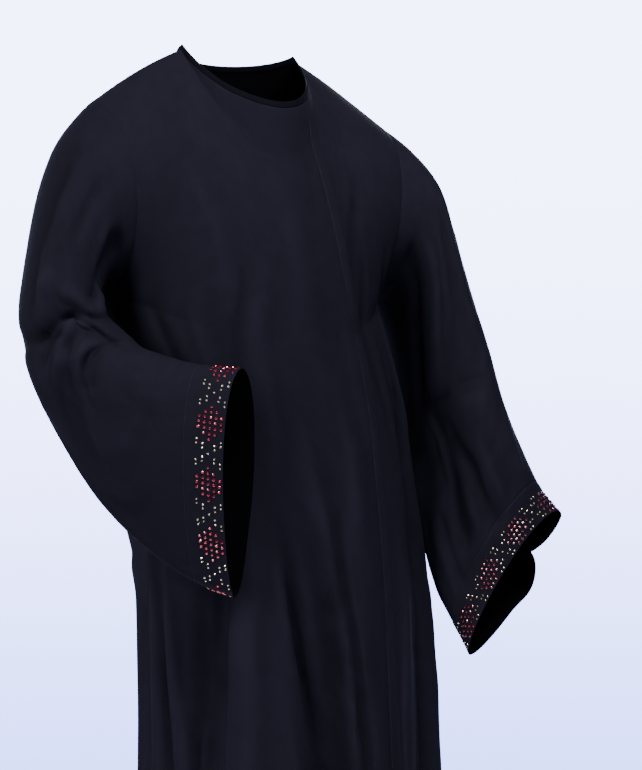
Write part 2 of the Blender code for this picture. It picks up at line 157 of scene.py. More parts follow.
@dataclass(frozen=True)
class Swell:
    """Low uneven swells in a cloth, longer one way than the other, in centimetres."""

    height: float
    wave: float
    tall: float
    seed: float

    def at(self, s: Array, z: Array) -> Array:
        """Read the swells' heights.

        Args:
            s: Distances across the cloth.
            z: Distances along it.

        Returns:
            The heights there.
        """
        wave, tall, seed = self.wave, self.tall, self.seed
        drift = 0.35 * wave * waver(z, 1.7 * tall, seed + 5.0)
        lean = 0.5 * tall * waver(s, 2.3 * wave, seed + 9.0)
        upright = waver(s + drift, wave, seed) * waver(z + lean, tall, seed + 3.0)
        slanted = waver(s - 0.4 * z * wave / tall + drift, 1.6 * wave, seed + 7.0)
        return self.height * (0.6 * upright + 0.4 * slanted)


def grid_normals(points: Array, closed: bool) -> Array:
    """Outward normals of a grid of points.

    Args:
        points: Rows of points, from the top down.
        closed: Whether the last column repeats the first.

    Returns:
        One normal for each point.
    """
    down = np.gradient(points, axis=0)
    along = np.gradient(points, axis=1)
    if closed:
        joined = points[:, 1] - points[:, -2]
        along[:, 0] = along[:, -1] = 0.5 * joined
    return unit(np.cross(down, along))


def run_lengths(points: Array, axis: int = 0) -> Array:
    """Distances along a line, or along each row or column of a grid, from its first point."""
    steps = np.linalg.norm(np.diff(points, axis=axis), axis=-1)
    pad = [(0, 0)] * steps.ndim
    pad[axis] = (1, 0)
    return np.pad(np.cumsum(steps, axis=axis), pad)


def read_line(where: Array, run: Array, values: Array) -> Array:
    """Read points or directions of a line at distances along it."""
    return np.stack([np.interp(where, run, values[:, axis]) for axis in range(3)], axis=-1)


def fine_ends(count: int, at_start: bool, at_end: bool) -> Array:
    """Even shares from 0 to 1, with extra ones close to the ends that lie at a seam."""
    close = [share / count for share in CLOSE_SHARES]
    shares = list(np.linspace(0.0, 1.0, count + 1))
    if at_start:
        shares += close
    if at_end:
        shares += [1.0 - share for share in close]
    return np.array(sorted(shares))


# ---------------------------------------------------------------- seams and hems


@dataclass(frozen=True)
class Seam:
    """How a sewn edge draws the cloth in, in metres, with its puckers' wave in centimetres."""

    drop: float = 0.0007
    reach: float = 0.0024
    smooth_reach: float = 0.018
    pucker: float = 0.00045
    pucker_start: float = 0.0015
    pucker_reach: float = 0.007
    pucker_wave: float = 2.6

    def relief(self, away: Array, along: Array, seed: float) -> Array:
        """The seam's groove and the puckers beside it.

        Args:
            away: Distances from the seam, in metres.
            along: Distances along it, in centimetres.
            seed: Any number; each gives other puckers.

        Returns:
            Heights in metres.
        """
        puckers = waver(along, self.pucker_wave, seed) * np.exp(-away / self.pucker_reach)
        puckers = puckers * (1 - np.exp(-away / self.pucker_start))
        return self.pucker * puckers - self.drop * np.exp(-((away / self.reach) ** 2))

    def kept(self, away: Array) -> Array:
        """The share of the cloth's creases that is left at distances from the seam."""
        return 1.0 - np.exp(-((away / self.smooth_reach) ** 2))


@dataclass(frozen=True)
class Hem:
    """How a turned and stitched hem stands out, in metres, with its depth and puckers' wave in centimetres."""

    depth: float
    rise: float
    groove: float
    groove_reach: float
    pucker: float
    pucker_reach: float
    pucker_wave: float
    seed: float
    step: float = 0.0015

    def relief(self, from_edge: Array, along: Array) -> Array:
        """The doubled cloth, the stitched groove and its puckers.

        Args:
            from_edge: Distances from the cloth's edge, in metres.
            along: Distances along the edge, in centimetres.

        Returns:
            Heights in metres.
        """
        away = from_edge - self.depth * CM
        doubled = self.rise * ease(0.5 - away / self.step)
        groove = self.groove * np.exp(-((away / self.groove_reach) ** 2))
        puckers = waver(along, self.pucker_wave, self.seed) * np.exp(-np.abs(away) / self.pucker_reach)
        return doubled - groove + self.pucker * puckers


# ---------------------------------------------------------------- the body's form


@dataclass(frozen=True)
class Level:
    """One row of the body, from the shoulder seam to the hem."""

    front_y: float
    front_z: float
    back_y: float
    back_z: float
    drift: float
    reach: float
    side_y: float
    side_z: float
    turn: float
    rise: float
    edge: float


@dataclass(frozen=True)
class Fold:
    """A soft ridge or valley of the body that runs down, with a negative height for a valley."""

    top_z: float
    top_place: float
    bottom_z: float
    bottom_place: float
    top_width: float
    bottom_width: float
    height: float
    kept: float


@dataclass(frozen=True)
class Crease:
    """A main crease of a sleeve: a straight stretch between two places, each a ring and an angle."""

    from_u: float
    from_v: float
    to_u: float
    to_v: float
    width: float
    height: float


@dataclass(frozen=True)
class Line:
    """A fine crease along a path of places, with a negative height for a trough.

    For the body a place is a quarter of the girth and a height z; for a sleeve it is a ring and an angle.
    A lean above 0 makes one side of the crease steeper than the other.
    """

    path: tuple[tuple[float, float], ...]
    width: float
    height: float
    lean: float = 0.0
    pressed: bool = False


LEVELS = (
    Level(-9.25, -8.0, 7.55, -1.0, 0.0, 19.0, 0.75, -31, 0, 1.00, 5.5),
    Level(-9.9, -11.0, 8.3, -5.0, 0.0, 19.0, 0.75, -31, 12, 0.74, 6.0),
    Level(-10.7, -14.8, 9.0, -9.5, 0.0, 19.0, 0.75, -31, 22, 0.50, 6.7),
    Level(-11.5, -19.2, 9.5, -14.5, 0.0, 19.0, 0.75, -31, 32, 0.30, 7.5),
    Level(-12.2, -23.8, 9.8, -20.0, 0.0, 19.0, 0.75, -31, 45, 0.15, 8.3),
    Level(-12.8, -28.6, 9.8, -26.0, 0.0, 19.0, 0.75, -31, 60, 0.06, 9.1),
    Level(-13.3, -33.4, 9.6, -32.0, 0.0, 19.0, 0.75, -31, 75, 0.02, 10.1),
    Level(-13.7, -38.0, 9.3, -38.0, 0.0, 19.0, 0.75, -31, 88, 0.00, 11.0),
    Level(-14.8, -47.0, 9.0, -47.0, 2.2, 19.4, -0.8, -42, 90, 0.00, 12.0),
    Level(-16.2, -57.0, 8.8, -57.0, 3.5, 19.5, -2.8, -54, 90, 0.00, 12.1),
    Level(-17.8, -68.0, 8.8, -68.0, 4.2, 19.5, -4.2, -66, 90, 0.00, 11.9),
    Level(-19.2, -80.0, 9.2, -80.0, 4.3, 19.4, -5.0, -79, 90, 0.00, 11.6),
    Level(-20.6, -94.0, 9.7, -94.0, 4.3, 19.5, -5.5, -93.5, 90, 0.00, 11.4),
    Level(-21.8, -110.0, 10.4, -110.0, 4.4, 20.3, -5.8, -110, 90, 0.00, 11.3),
    Level(-23.0, -126.0, 11.2, -126.0, 4.5, 21.2, -6.0, -126, 90, 0.00, 11.2),
    Level(-24.2, -142.0, 12.0, -142.0, 4.6, 22.2, -6.2, -142, 90, 0.00, 11.1),
)
FOLDS = (
    Fold(-56, -0.96, -142, -0.94, 3.0, 6.0, 0.8, 1),
    Fold(-60, -0.89, -142, -0.86, 3.0, 5.0, -0.7, 1),
    Fold(-58, -0.86, -142, -0.77, 3.0, 6.0, 0.9, 1),
    Fold(-50, -0.45, -142, -0.70, 3.0, 6.5, -1.5, 1),
    Fold(-52, -0.36, -142, -0.54, 5.0, 9.0, 1.2, 1),
    Fold(-62, -0.30, -142, -0.16, 3.0, 5.0, 0.7, 1),
    Fold(-58, -0.25, -142, -0.04, 2.5, 4.5, -1.2, 1),
    Fold(-44, -0.07, -142, 0.06, 3.0, 5.5, 0.8, 1),
    Fold(-48, 0.02, -142, 0.16, 3.0, 5.0, -0.8, 1),
    Fold(-46, 0.12, -92, 0.10, 4.0, 4.5, 0.4, 0),
    Fold(-56, 0.34, -142, 0.22, 5.0, 6.5, 0.6, 1),
    Fold(-30, 0.60, -142, 0.42, 3.0, 6.5, -1.2, 1),
    Fold(-48, 0.76, -142, 0.62, 3.0, 7.5, 1.1, 1),
    Fold(-40, 0.90, -142, 0.82, 3.0, 6.5, -1.0, 1),
    Fold(-66, 1.02, -142, 1.00, 3.5, 6.5, 0.7, 1),
    Fold(-54, 1.20, -142, 1.17, 4.0, 6.5, -0.9, 1),
    Fold(-36, 1.35, -142, 1.36, 4.0, 8.0, 1.2, 1),
    Fold(-42, 1.52, -142, 1.56, 4.0, 7.0, -1.1, 1),
    Fold(-50, 1.70, -142, 1.75, 4.0, 7.5, 0.9, 1),
    Fold(-62, 1.88, -142, 1.92, 4.0, 6.0, -0.8, 1),
    Fold(-34, 2.08, -142, 2.12, 5.0, 8.5, 1.2, 1),
    Fold(-46, 2.26, -142, 2.31, 4.0, 6.5, -1.0, 1),
    Fold(-38, 2.44, -142, 2.50, 4.0, 7.5, 1.0, 1),
    Fold(-44, 2.62, -142, 2.67, 4.0, 7.0, -1.1, 1),
    Fold(-40, 2.78, -142, 2.84, 4.0, 6.5, 0.9, 1),
    Fold(-36, 2.92, -66, 2.94, 6.0, 5.0, 2.6, 0),
)


@dataclass
class BodyForm:
    """The surface that the fronts and the back lie on."""

    neck_half_width: float = 8.4
    seam_y: float = 0.75
    front_neck_drop: float = 8.0
    front_neck_depth: float = 10.0
    back_neck_drop: float = 1.0
    back_neck_depth: float = 6.8
    neck_share: float = 0.32
    shoulder_bow: float = 0.6
    armhole_x: float = 20.0
    armhole_lean: float = 1.0
    armhole_hollow: float = 0.7
    armhole_z: float = -19.5
    armhole_half_height: float = 11.5
    armhole_front: float = 9.2
    armhole_back: float = 8.7
    armpit_level: int = 7
    round_handle: float = 0.552
    straight_handle: float = 0.4
    handle_drop: float = 0.2
    top_blur: float = 0.09
    fold_start: float = 0.3
    quarter_girth: float = 34.0
    blur_steps: tuple[float, ...] = (-1.0, -0.5, 0.0, 0.5, 1.0)
    search_steps: int = 1500
    search_reach: float = 0.9
    search_halvings: int = 26
    levels: tuple[Level, ...] = LEVELS
    folds: tuple[Fold, ...] = FOLDS

    def column(self, name: str, level: Array) -> Array:
        """Read one column of the levels' table at fractional levels."""
        return spline(np.array([getattr(row, name) for row in self.levels], float), level)

    def level_at(self, z: float) -> float:
        """The level whose row crosses the middle of the front at a height."""
        steps = np.linspace(0.0, len(self.levels) - 1, self.search_steps)
        return float(np.interp(-z, -self.column("front_z", steps), steps))

    def armhole(self, side: Array, turn: Array) -> Array:
        """Points of the armhole seam.

        Args:
            side: The sign of X of each point.
            turn: 0 at the shoulder, 90 at the chest, 180 at the armpit, in degrees.

        Returns:
            The points.
        """
        angle = np.radians(turn)
        depth = np.where(np.sin(angle) > 0, self.armhole_front, self.armhole_back)
        x = self.armhole_x + self.armhole_lean * np.cos(angle) - self.armhole_hollow * np.sin(angle) ** 2
        z = self.armhole_z + self.armhole_half_height * np.cos(angle)
        return stacked(side * x, self.seam_y - depth * np.sin(angle), z)

    def outer_end(self, face: Face, side: Array, level: Array) -> Array:
        """The outer ends of rows: on the armhole down to the armpit, then on the side seam."""
        turn = -face.value * 180.0 * np.minimum(level, self.armpit_level) / self.armpit_level
        low = stacked(
            self.column("drift", level) + side * self.column("reach", level),
            self.column("side_y", level),
            self.column("side_z", level),
        )
        above = (level <= self.armpit_level)[..., None]
        return np.where(above, self.armhole(side, turn), low)

    def row_point(self, face: Face, across: Array, level: Array) -> Array:
        """Points of smooth rows, before the neck and shoulder line is worked into them."""
        side = np.where(across >= 0, 1.0, -1.0)
        share = np.abs(across)[..., None]
        column = "front" if face is Face.FRONT else "back"
        middle = stacked(
            self.column("drift", level), self.column(column + "_y", level), self.column(column + "_z", level)
        )
        outer = self.outer_end(face, side, level)
        turn = np.radians(self.column("turn", level))
        away = outer - middle
        middle_handle = stacked(self.round_handle * away[..., 0], 0.0 * turn, 0.0 * turn)
        outer_handle = stacked(
            -self.straight_handle * np.cos(turn) * away[..., 0],
            -self.round_handle * np.sin(turn) * away[..., 1],
            -self.handle_drop * away[..., 2],
        )
        rest = 1.0 - share
        return (
            middle * rest**3
            + (middle + middle_handle) * (3 * rest**2 * share)
            + (outer + outer_handle) * (3 * rest * share**2)
            + outer * share**3
        )

    def top_line(self, face: Face, across: Array) -> Array:
        """The neckline in the middle and the shoulder seam on each side of it."""
        side = np.where(across >= 0, 1.0, -1.0)
        share = np.abs(across)
        angle = 0.5 * math.pi * np.minimum(share / self.neck_share, 1.0)
        front = face is Face.FRONT
        drop = self.front_neck_drop if front else self.back_neck_drop
        depth = self.front_neck_depth if front else self.back_neck_depth
        neck = stacked(
            side * self.neck_half_width * np.sin(angle),
            self.seam_y + face.value * depth * np.cos(angle),
            -drop * np.cos(angle),
        )
        along = np.clip((share - self.neck_share) / (1.0 - self.neck_share), 0.0, 1.0)[..., None]
        start = stacked(side * self.neck_half_width, self.seam_y + 0.0 * side, 0.0 * side)
        shoulder = start * (1 - along) + self.armhole(side, 0.0 * side) * along
        shoulder[..., 2] += self.shoulder_bow * np.sin(math.pi * along[..., 0])
        return np.where((share < self.neck_share)[..., None], neck, shoulder)

    def fold_height(self, place: Array, z: Array) -> Array:
        """How far the folds move the cloth out at places round the body and heights."""
        height = np.zeros_like(z)
        for fold in self.folds:
            down = (fold.top_z - z) / (fold.top_z - fold.bottom_z)
            active = (down > 0.0) & ((down < 1.0) | (fold.kept > 0))
            width = fold.top_width + (fold.bottom_width - fold.top_width) * np.minimum(down, 1.0)
            line = fold.top_place + (fold.bottom_place - fold.top_place) * down
            away = ((place - line + 2.0) % 4.0 - 2.0) * self.quarter_girth
            growth = ease(down / self.fold_start)
            growth = growth * (1 + (fold.kept - 1) * ease((down - self.fold_start) / (1 - self.fold_start)))
            height += np.where(active, fold.height * growth * np.exp(-((away / (0.5 * width)) ** 2)), 0.0)
        return height

    def point(self, face: Face, across: Array, level: Array) -> Array:
        """Points of the body.

        Args:
            face: The front or the back.
            across: -1 at the right side and 1 at the left.
            level: Fractional levels, in an array of the same shape.

        Returns:
            The points, in centimetres.
        """
        point = self.row_point(face, across, level)
        rise = self.column("rise", level)
        blur = self.top_blur * np.minimum(level, 2.0) * (1.0 - across**4)
        tops = [self.top_line(face, np.clip(across + blur * step, -1.0, 1.0)) for step in self.blur_steps]
        top = sum(tops) / len(tops)
        raised = rise[..., None] * (top - self.row_point(face, across, 0.0 * level))
        point = point + np.where(rise[..., None] > 0, raised, 0.0)
        place = across if face is Face.FRONT else 2.0 - across
        front_y, back_y = self.column("front_y", level), self.column("back_y", level)
        outward = unit(
            stacked(
                (point[..., 0] - self.column("drift", level)) / self.column("reach", level) ** 2,
                (point[..., 1] - 0.5 * (back_y + front_y)) / (0.5 * (back_y - front_y)) ** 2,
                0.0 * level,
            )
        )
        return point + outward * self.fold_height(place, point[..., 2])[..., None]

    def across_at(self, x: Array, level: Array) -> Array:
        """The places across the front, one for each level, that lie at x."""
        low, high = np.full_like(level, -self.search_reach), np.full_like(level, self.search_reach)
        for _ in range(self.search_halvings):
            middle = 0.5 * (low + high)
            short = self.row_point(Face.FRONT, middle, level)[..., 0] < x
            low, high = np.where(short, middle, low), np.where(short, high, middle)
        return 0.5 * (low + high)


# ---------------------------------------------------------------- the sleeves' form


@dataclass(frozen=True)
class Ring:
    """One ring of a sleeve: its outer and inner line, and how its near and far sides are filled out."""

    outer: Point
    inner: Point
    bearing: float
    tip: float
    near: float
    far: float
    lean: float


RIGHT_RINGS = (
    Ring((-24.3, 1.8, -12.5), (-20.7, 0.3, -31.5), 3, 0, 9.3, 8.2, 0.1),
    Ring((-26.8, 2.8, -19.5), (-21.5, -1.2, -32.7), 8, 0, 9.0, 7.2, 0.2),
    Ring((-28.4, 3.6, -27.0), (-21.3, -3.6, -34.2), 18, 0, 8.2, 6.4, 0.2),
    Ring((-29.2, 3.8, -34.0), (-20.8, -6.2, -35.8), 30, 0, 7.3, 5.6, 0.15),
    Ring((-29.0, 1.6, -40.5), (-20.0, -8.2, -37.3), 38, 0, 6.2, 5.0, 0.0),
    Ring((-27.5, -1.8, -47.0), (-19.4, -9.9, -38.5), 42, 0, 5.6, 4.5, -0.15),
    Ring((-24.5, -6.3, -54.8), (-18.1, -11.9, -39.3), 45, 0, 4.8, 4.0, -0.3),
    Ring((-21.0, -11.2, -60.8), (-16.1, -14.4, -40.2), 49, 0, 4.1, 3.5, -0.35),
    Ring((-16.3, -15.2, -65.3), (-13.8, -17.0, -40.8), 58, 0, 3.5, 3.1, -0.3),
    Ring((-11.4, -18.8, -67.7), (-10.8, -19.2, -41.1), 68, 0, 3.0, 2.7, -0.25),
)
LEFT_RINGS = (
    Ring((23.6, -1.6, -10.8), (21.7, 0.8, -31.2), 4, 0, 9.0, 8.4, 0.0),
    Ring((26.1, -4.8, -15.5), (23.4, 0.6, -34.2), 8, 2, 8.6, 8.0, 0.0),
    Ring((27.5, -7.1, -22.5), (24.3, -0.2, -40.2), 12, 4, 8.0, 7.4, 0.1),
    Ring((29.1, -9.2, -30.5), (24.5, -1.6, -47.0), 16, 6, 7.4, 6.8, 0.2),
    Ring((30.8, -11.1, -38.0), (24.2, -3.8, -53.5), 19, 8, 6.8, 6.4, 0.3),
    Ring((32.2, -12.9, -45.2), (23.6, -7.5, -60.0), 24, 13, 6.3, 5.4, 0.35),
    Ring((34.2, -15.0, -52.0), (22.4, -11.8, -66.5), 31, 20, 5.9, 4.7, 0.35),
    Ring((36.2, -17.0, -57.5), (23.2, -15.0, -72.8), 40, 33, 5.3, 4.0, 0.3),
    Ring((37.8, -18.9, -60.3), (24.2, -17.0, -77.5), 50, 48, 4.6, 3.2, 0.1),
)
RIGHT_CREASES = (
    Crease(4.6, 8, 4.5, 68, 2.6, -0.6),
    Crease(4.5, 68, 4.0, 104, 2.6, -0.8),
    Crease(4.0, 104, 5.2, 148, 2.6, -0.7),
    Crease(5.4, 60, 5.0, 130, 3.0, 0.5),
    Crease(6.1, 96, 5.2, 128, 2.4, -0.5),
    Crease(3.3, 60, 3.5, 118, 3.0, 0.4),
    Crease(0.8, 118, 3.0, 124, 3.0, -0.6),
    Crease(4.5, 340, 4.0, 280, 2.6, -0.6),
    Crease(4.0, 270, 5.0, 225, 2.6, -0.7),
    Crease(5.4, 310, 5.1, 240, 3.0, 0.5),
)
LEFT_CREASES = (
    Crease(4.8, 112, 7.6, 84, 3.0, -0.8),
    Crease(4.5, 126, 7.2, 117, 3.0, -0.7),
    Crease(5.2, 112, 7.8, 101, 2.6, 0.5),
    Crease(1.0, 120, 4.2, 138, 3.4, -0.7),
    Crease(2.4, 66, 4.7, 60, 4.0, -0.4),
    Crease(1.4, 232, 5.2, 244, 3.4, -0.7),
    Crease(3.0, 296, 7.2, 262, 3.4, -0.6),
    Crease(6.0, 286, 9.4, 280, 3.4, 1.0),
    Crease(8.1, 318, 9.6, 317, 5.6, -4.8),
    Crease(8.4, 343, 9.6, 343, 3.0, -0.9),
)


@dataclass
class SleeveForm:
    """The surface that a sleeve lies on, from the armhole to the cuff."""

    side: Side
    rings: tuple[Ring, ...]
    creases: tuple[Crease, ...]
    body: BodyForm
    ring_step: float = 5.5
    around_step: float = 0.14

    def __post_init__(self) -> None:
        """Put the armhole before the rings."""
        side, form = np.array(float(self.side.value)), self.body
        top, bottom = form.armhole(side, np.array(0.0)), form.armhole(side, np.array(180.0))
        armhole = Ring(tuple(top), tuple(bottom), 0, 0, form.armhole_front, form.armhole_back, 0.0)
        self.table = (armhole,) + self.rings

    def column(self, name: str, place: Array) -> Array:
        """Read one column of the rings' table at fractional rings."""
        return spline(np.array([getattr(ring, name) for ring in self.table], float), place)

    def crease_height(self, place: Array, around: Array) -> Array:
        """How far the main creases move the cloth out."""
        height = np.zeros(np.broadcast(place, around).shape)
        for crease in self.creases:
            run_u = (crease.to_u - crease.from_u) * self.ring_step
            run_v = (crease.to_v - crease.from_v) * self.around_step
            for turn in (-360.0, 0.0, 360.0):
                u = (place - crease.from_u) * self.ring_step
                v = (around + turn - crease.from_v) * self.around_step
                along = np.clip((u * run_u + v * run_v) / (run_u**2 + run_v**2), 0.0, 1.0)
                away = np.hypot(u - run_u * along, v - run_v * along)
                height += crease.height * np.exp(-((away / (0.5 * crease.width)) ** 2))
        return height

    def point(self, around: Array, place: Array) -> Array:
        """Points of the sleeve.

        Args:
            around: 0 on the outer line, 90 on the near side, 180 on the inner line, in degrees.
            place: Fractional rings from the armhole.

        Returns:
            The points, in centimetres.
        """
        outer, inner = self.column("outer", place), self.column("inner", place)
        bearing, tip = np.radians(self.column("bearing", place)), np.radians(self.column("tip", place))
        facing = stacked(-np.sin(bearing) * np.cos(tip), -np.cos(bearing) * np.cos(tip), np.sin(tip))
        angle = np.radians(around)
        sine, cosine = np.sin(angle), np.cos(angle)
        half_chord = 0.5 * (outer - inner)
        fullness = np.where(sine > 0, self.column("near", place), self.column("far", place))
        fullness = fullness * (1.0 + self.column("lean", place) * cosine)
        point = 0.5 * (outer + inner) + half_chord * cosine[..., None] + facing * (fullness * sine)[..., None]
        point[..., 0] -= self.side.value * self.body.armhole_hollow * np.maximum(0.0, 1.0 - place) * sine**2
        outward = unit(unit(half_chord) * cosine[..., None] + facing * sine[..., None])
        return point + outward * self.crease_height(place, around)[..., None]


# ---------------------------------------------------------------- fine creases

BODY_LINES = (
    Line(((-0.50, -58), (-0.54, -68), (-0.62, -80), (-0.68, -98)), 3.2, -0.50, 0.3),
    Line(((-0.37, -60), (-0.41, -72), (-0.46, -88), (-0.50, -114)), 3.6, 0.34, -0.3),
    Line(((-0.31, -58), (-0.28, -70), (-0.20, -86), (-0.15, -100)), 1.9, 0.32, 0.5),
    Line(((-0.25, -58), (-0.22, -73), (-0.16, -83), (-0.08, -104)), 1.6, -0.50, 0.6),
    Line(((-0.09, -44), (-0.06, -60), (-0.03, -78), (-0.02, -96)), 2.4, 0.34, -0.5),
    Line(((0.00, -50), (0.01, -68), (0.02, -84), (0.06, -112)), 2.4, -0.46, -0.4),
    Line(((0.13, -44), (0.10, -56), (0.06, -68)), 2.2, 0.26, 0.3),
    Line(((0.10, -76), (0.12, -92), (0.10, -120)), 2.2, 0.26, 0.3),
    Line(((-0.98, -62), (-0.97, -74), (-0.92, -92), (-0.90, -110)), 2.0, 0.32, 0.4),
    Line(((-0.92, -66), (-0.88, -80), (-0.82, -104)), 1.7, -0.34, 0.3),
    Line(((-0.86, -62), (-0.83, -75), (-0.75, -88), (-0.70, -102)), 2.4, 0.32, -0.4),
    Line(((0.36, -60), (0.34, -72), (0.26, -90), (0.24, -106)), 2.4, 0.30, 0.4),
    Line(((0.45, -58), (0.42, -78), (0.36, -104)), 1.9, -0.32, 0.5),
    Line(((0.81, -24), (0.77, -33), (0.66, -44), (0.54, -56)), 2.4, -0.50, 0.4),
    Line(((0.93, -22), (0.88, -32), (0.80, -44), (0.73, -56)), 2.4, 0.32, -0.3),
    Line(((0.77, -48), (0.74, -56), (0.72, -66), (0.71, -82)), 2.2, -0.42, 0.4),
    Line(((0.57, -60), (0.58, -78), (0.55, -108)), 2.6, 0.30, 0.3),
    Line(((-0.23, -27), (-0.27, -37), (-0.34, -48)), 1.6, -0.30, 0.4),
    Line(((-0.13, -26), (-0.17, -40), (-0.24, -56)), 2.6, 0.24, -0.3),
    Line(((-0.46, -30), (-0.44, -42), (-0.48, -54)), 2.4, 0.24, 0.3),
    Line(((-0.70, -30), (-0.58, -42), (-0.52, -58)), 2.4, -0.30, 0.3),
    Line(((0.34, -26), (0.27, -38), (0.24, -54)), 2.6, 0.22, 0.4),
    Line(((0.52, -24), (0.44, -36), (0.42, -52)), 2.0, -0.26, -0.3),
    Line(((-0.56, -16), (-0.40, -24), (-0.30, -36)), 3.0, 0.20, 0.3),
    Line(((0.58, -15), (0.42, -23), (0.36, -34)), 3.0, -0.20, 0.3),
    Line(((-0.06, -14), (0.02, -26), (0.04, -42)), 3.2, 0.16, 0.4),
    Line(((-0.60, -104), (-0.57, -120), (-0.58, -138)), 2.4, 0.26, 0.4),
    Line(((-0.30, -102), (-0.26, -118), (-0.27, -136)), 2.2, -0.28, -0.4),
    Line(((0.02, -112), (0.00, -124), (0.03, -139)), 2.0, 0.22, 0.3),
    Line(((0.46, -104), (0.48, -120), (0.45, -138)), 2.4, -0.26, 0.4),
    Line(((0.86, -58), (0.89, -80), (0.88, -104)), 2.2, 0.28, -0.4),
    Line(((0.98, -60), (0.97, -84), (1.00, -118)), 2.0, -0.30, 0.4),
    Line(((1.16, -42), (1.20, -58), (1.26, -86)), 2.4, 0.30, 0.4),
    Line(((1.22, -24), (1.32, -36), (1.36, -56)), 2.6, -0.30, -0.3),
    Line(((1.38, -60), (1.41, -84), (1.40, -116)), 2.2, 0.32, 0.4),
    Line(((1.52, -46), (1.50, -66), (1.53, -98)), 2.0, -0.34, -0.4),
    Line(((1.58, -18), (1.70, -30), (1.76, -46)), 2.8, 0.24, 0.3),
    Line(((1.62, -72), (1.65, -96), (1.63, -128)), 2.2, -0.30, 0.5),
    Line(((1.84, -44), (1.81, -64), (1.82, -98)), 2.4, 0.30, 0.3),
    Line(((1.94, -26), (1.98, -48), (2.02, -84)), 2.0, -0.30, -0.4),
    Line(((2.16, -50), (2.20, -72), (2.21, -108)), 2.4, 0.32, 0.4),
    Line(((2.42, -18), (2.28, -30), (2.22, -44)), 2.8, -0.24, 0.3),
    Line(((2.38, -58), (2.42, -80), (2.40, -116)), 2.0, -0.34, 0.4),
    Line(((2.54, -44), (2.57, -66), (2.58, -98)), 2.4, 0.30, -0.3),
    Line(((2.80, -26), (2.70, -38), (2.62, -56)), 2.4, -0.30, 0.4),
    Line(((2.74, -62), (2.75, -86), (2.77, -124)), 2.2, -0.30, 0.4),
    Line(((2.92, -70), (2.90, -92), (2.93, -120)), 2.2, 0.26, 0.3),
    Line(((-0.62, -84), (-0.40, -85.4), (-0.20, -85.6)), 0.5, -0.07, 0.0, True),
    Line(((-0.14, -85.4), (0.10, -84.6), (0.30, -84.2)), 0.5, -0.06, 0.0, True),
    Line(((1.30, -98), (1.60, -99.2), (1.90, -99.6)), 0.5, -0.06, 0.0, True),
    Line(((1.96, -99.4), (2.30, -98.4), (2.60, -98.0)), 0.5, -0.06, 0.0, True),
    Line(((2.93, -49), (2.92, -60), (2.90, -70)), 6.0, 1.6),
    Line(((-0.10, -56), (-0.07, -66), (-0.05, -80), (-0.045, -94), (-0.03, -116)), 3.2, -1.05, -0.3),
    Line(((0.05, -60), (0.08, -78), (0.11, -98), (0.14, -120)), 3.2, 0.55, -0.3),
    Line(((-0.48, -60), (-0.52, -76), (-0.56, -92), (-0.61, -114)), 3.8, 0.62, 0.0),
    Line(((-0.60, -62), (-0.66, -78), (-0.72, -92), (-0.78, -110)), 2.4, -0.55, -0.3),
    Line(((0.81, -54), (0.80, -59), (0.76, -65), (0.71, -71)), 2.8, -0.50),
)
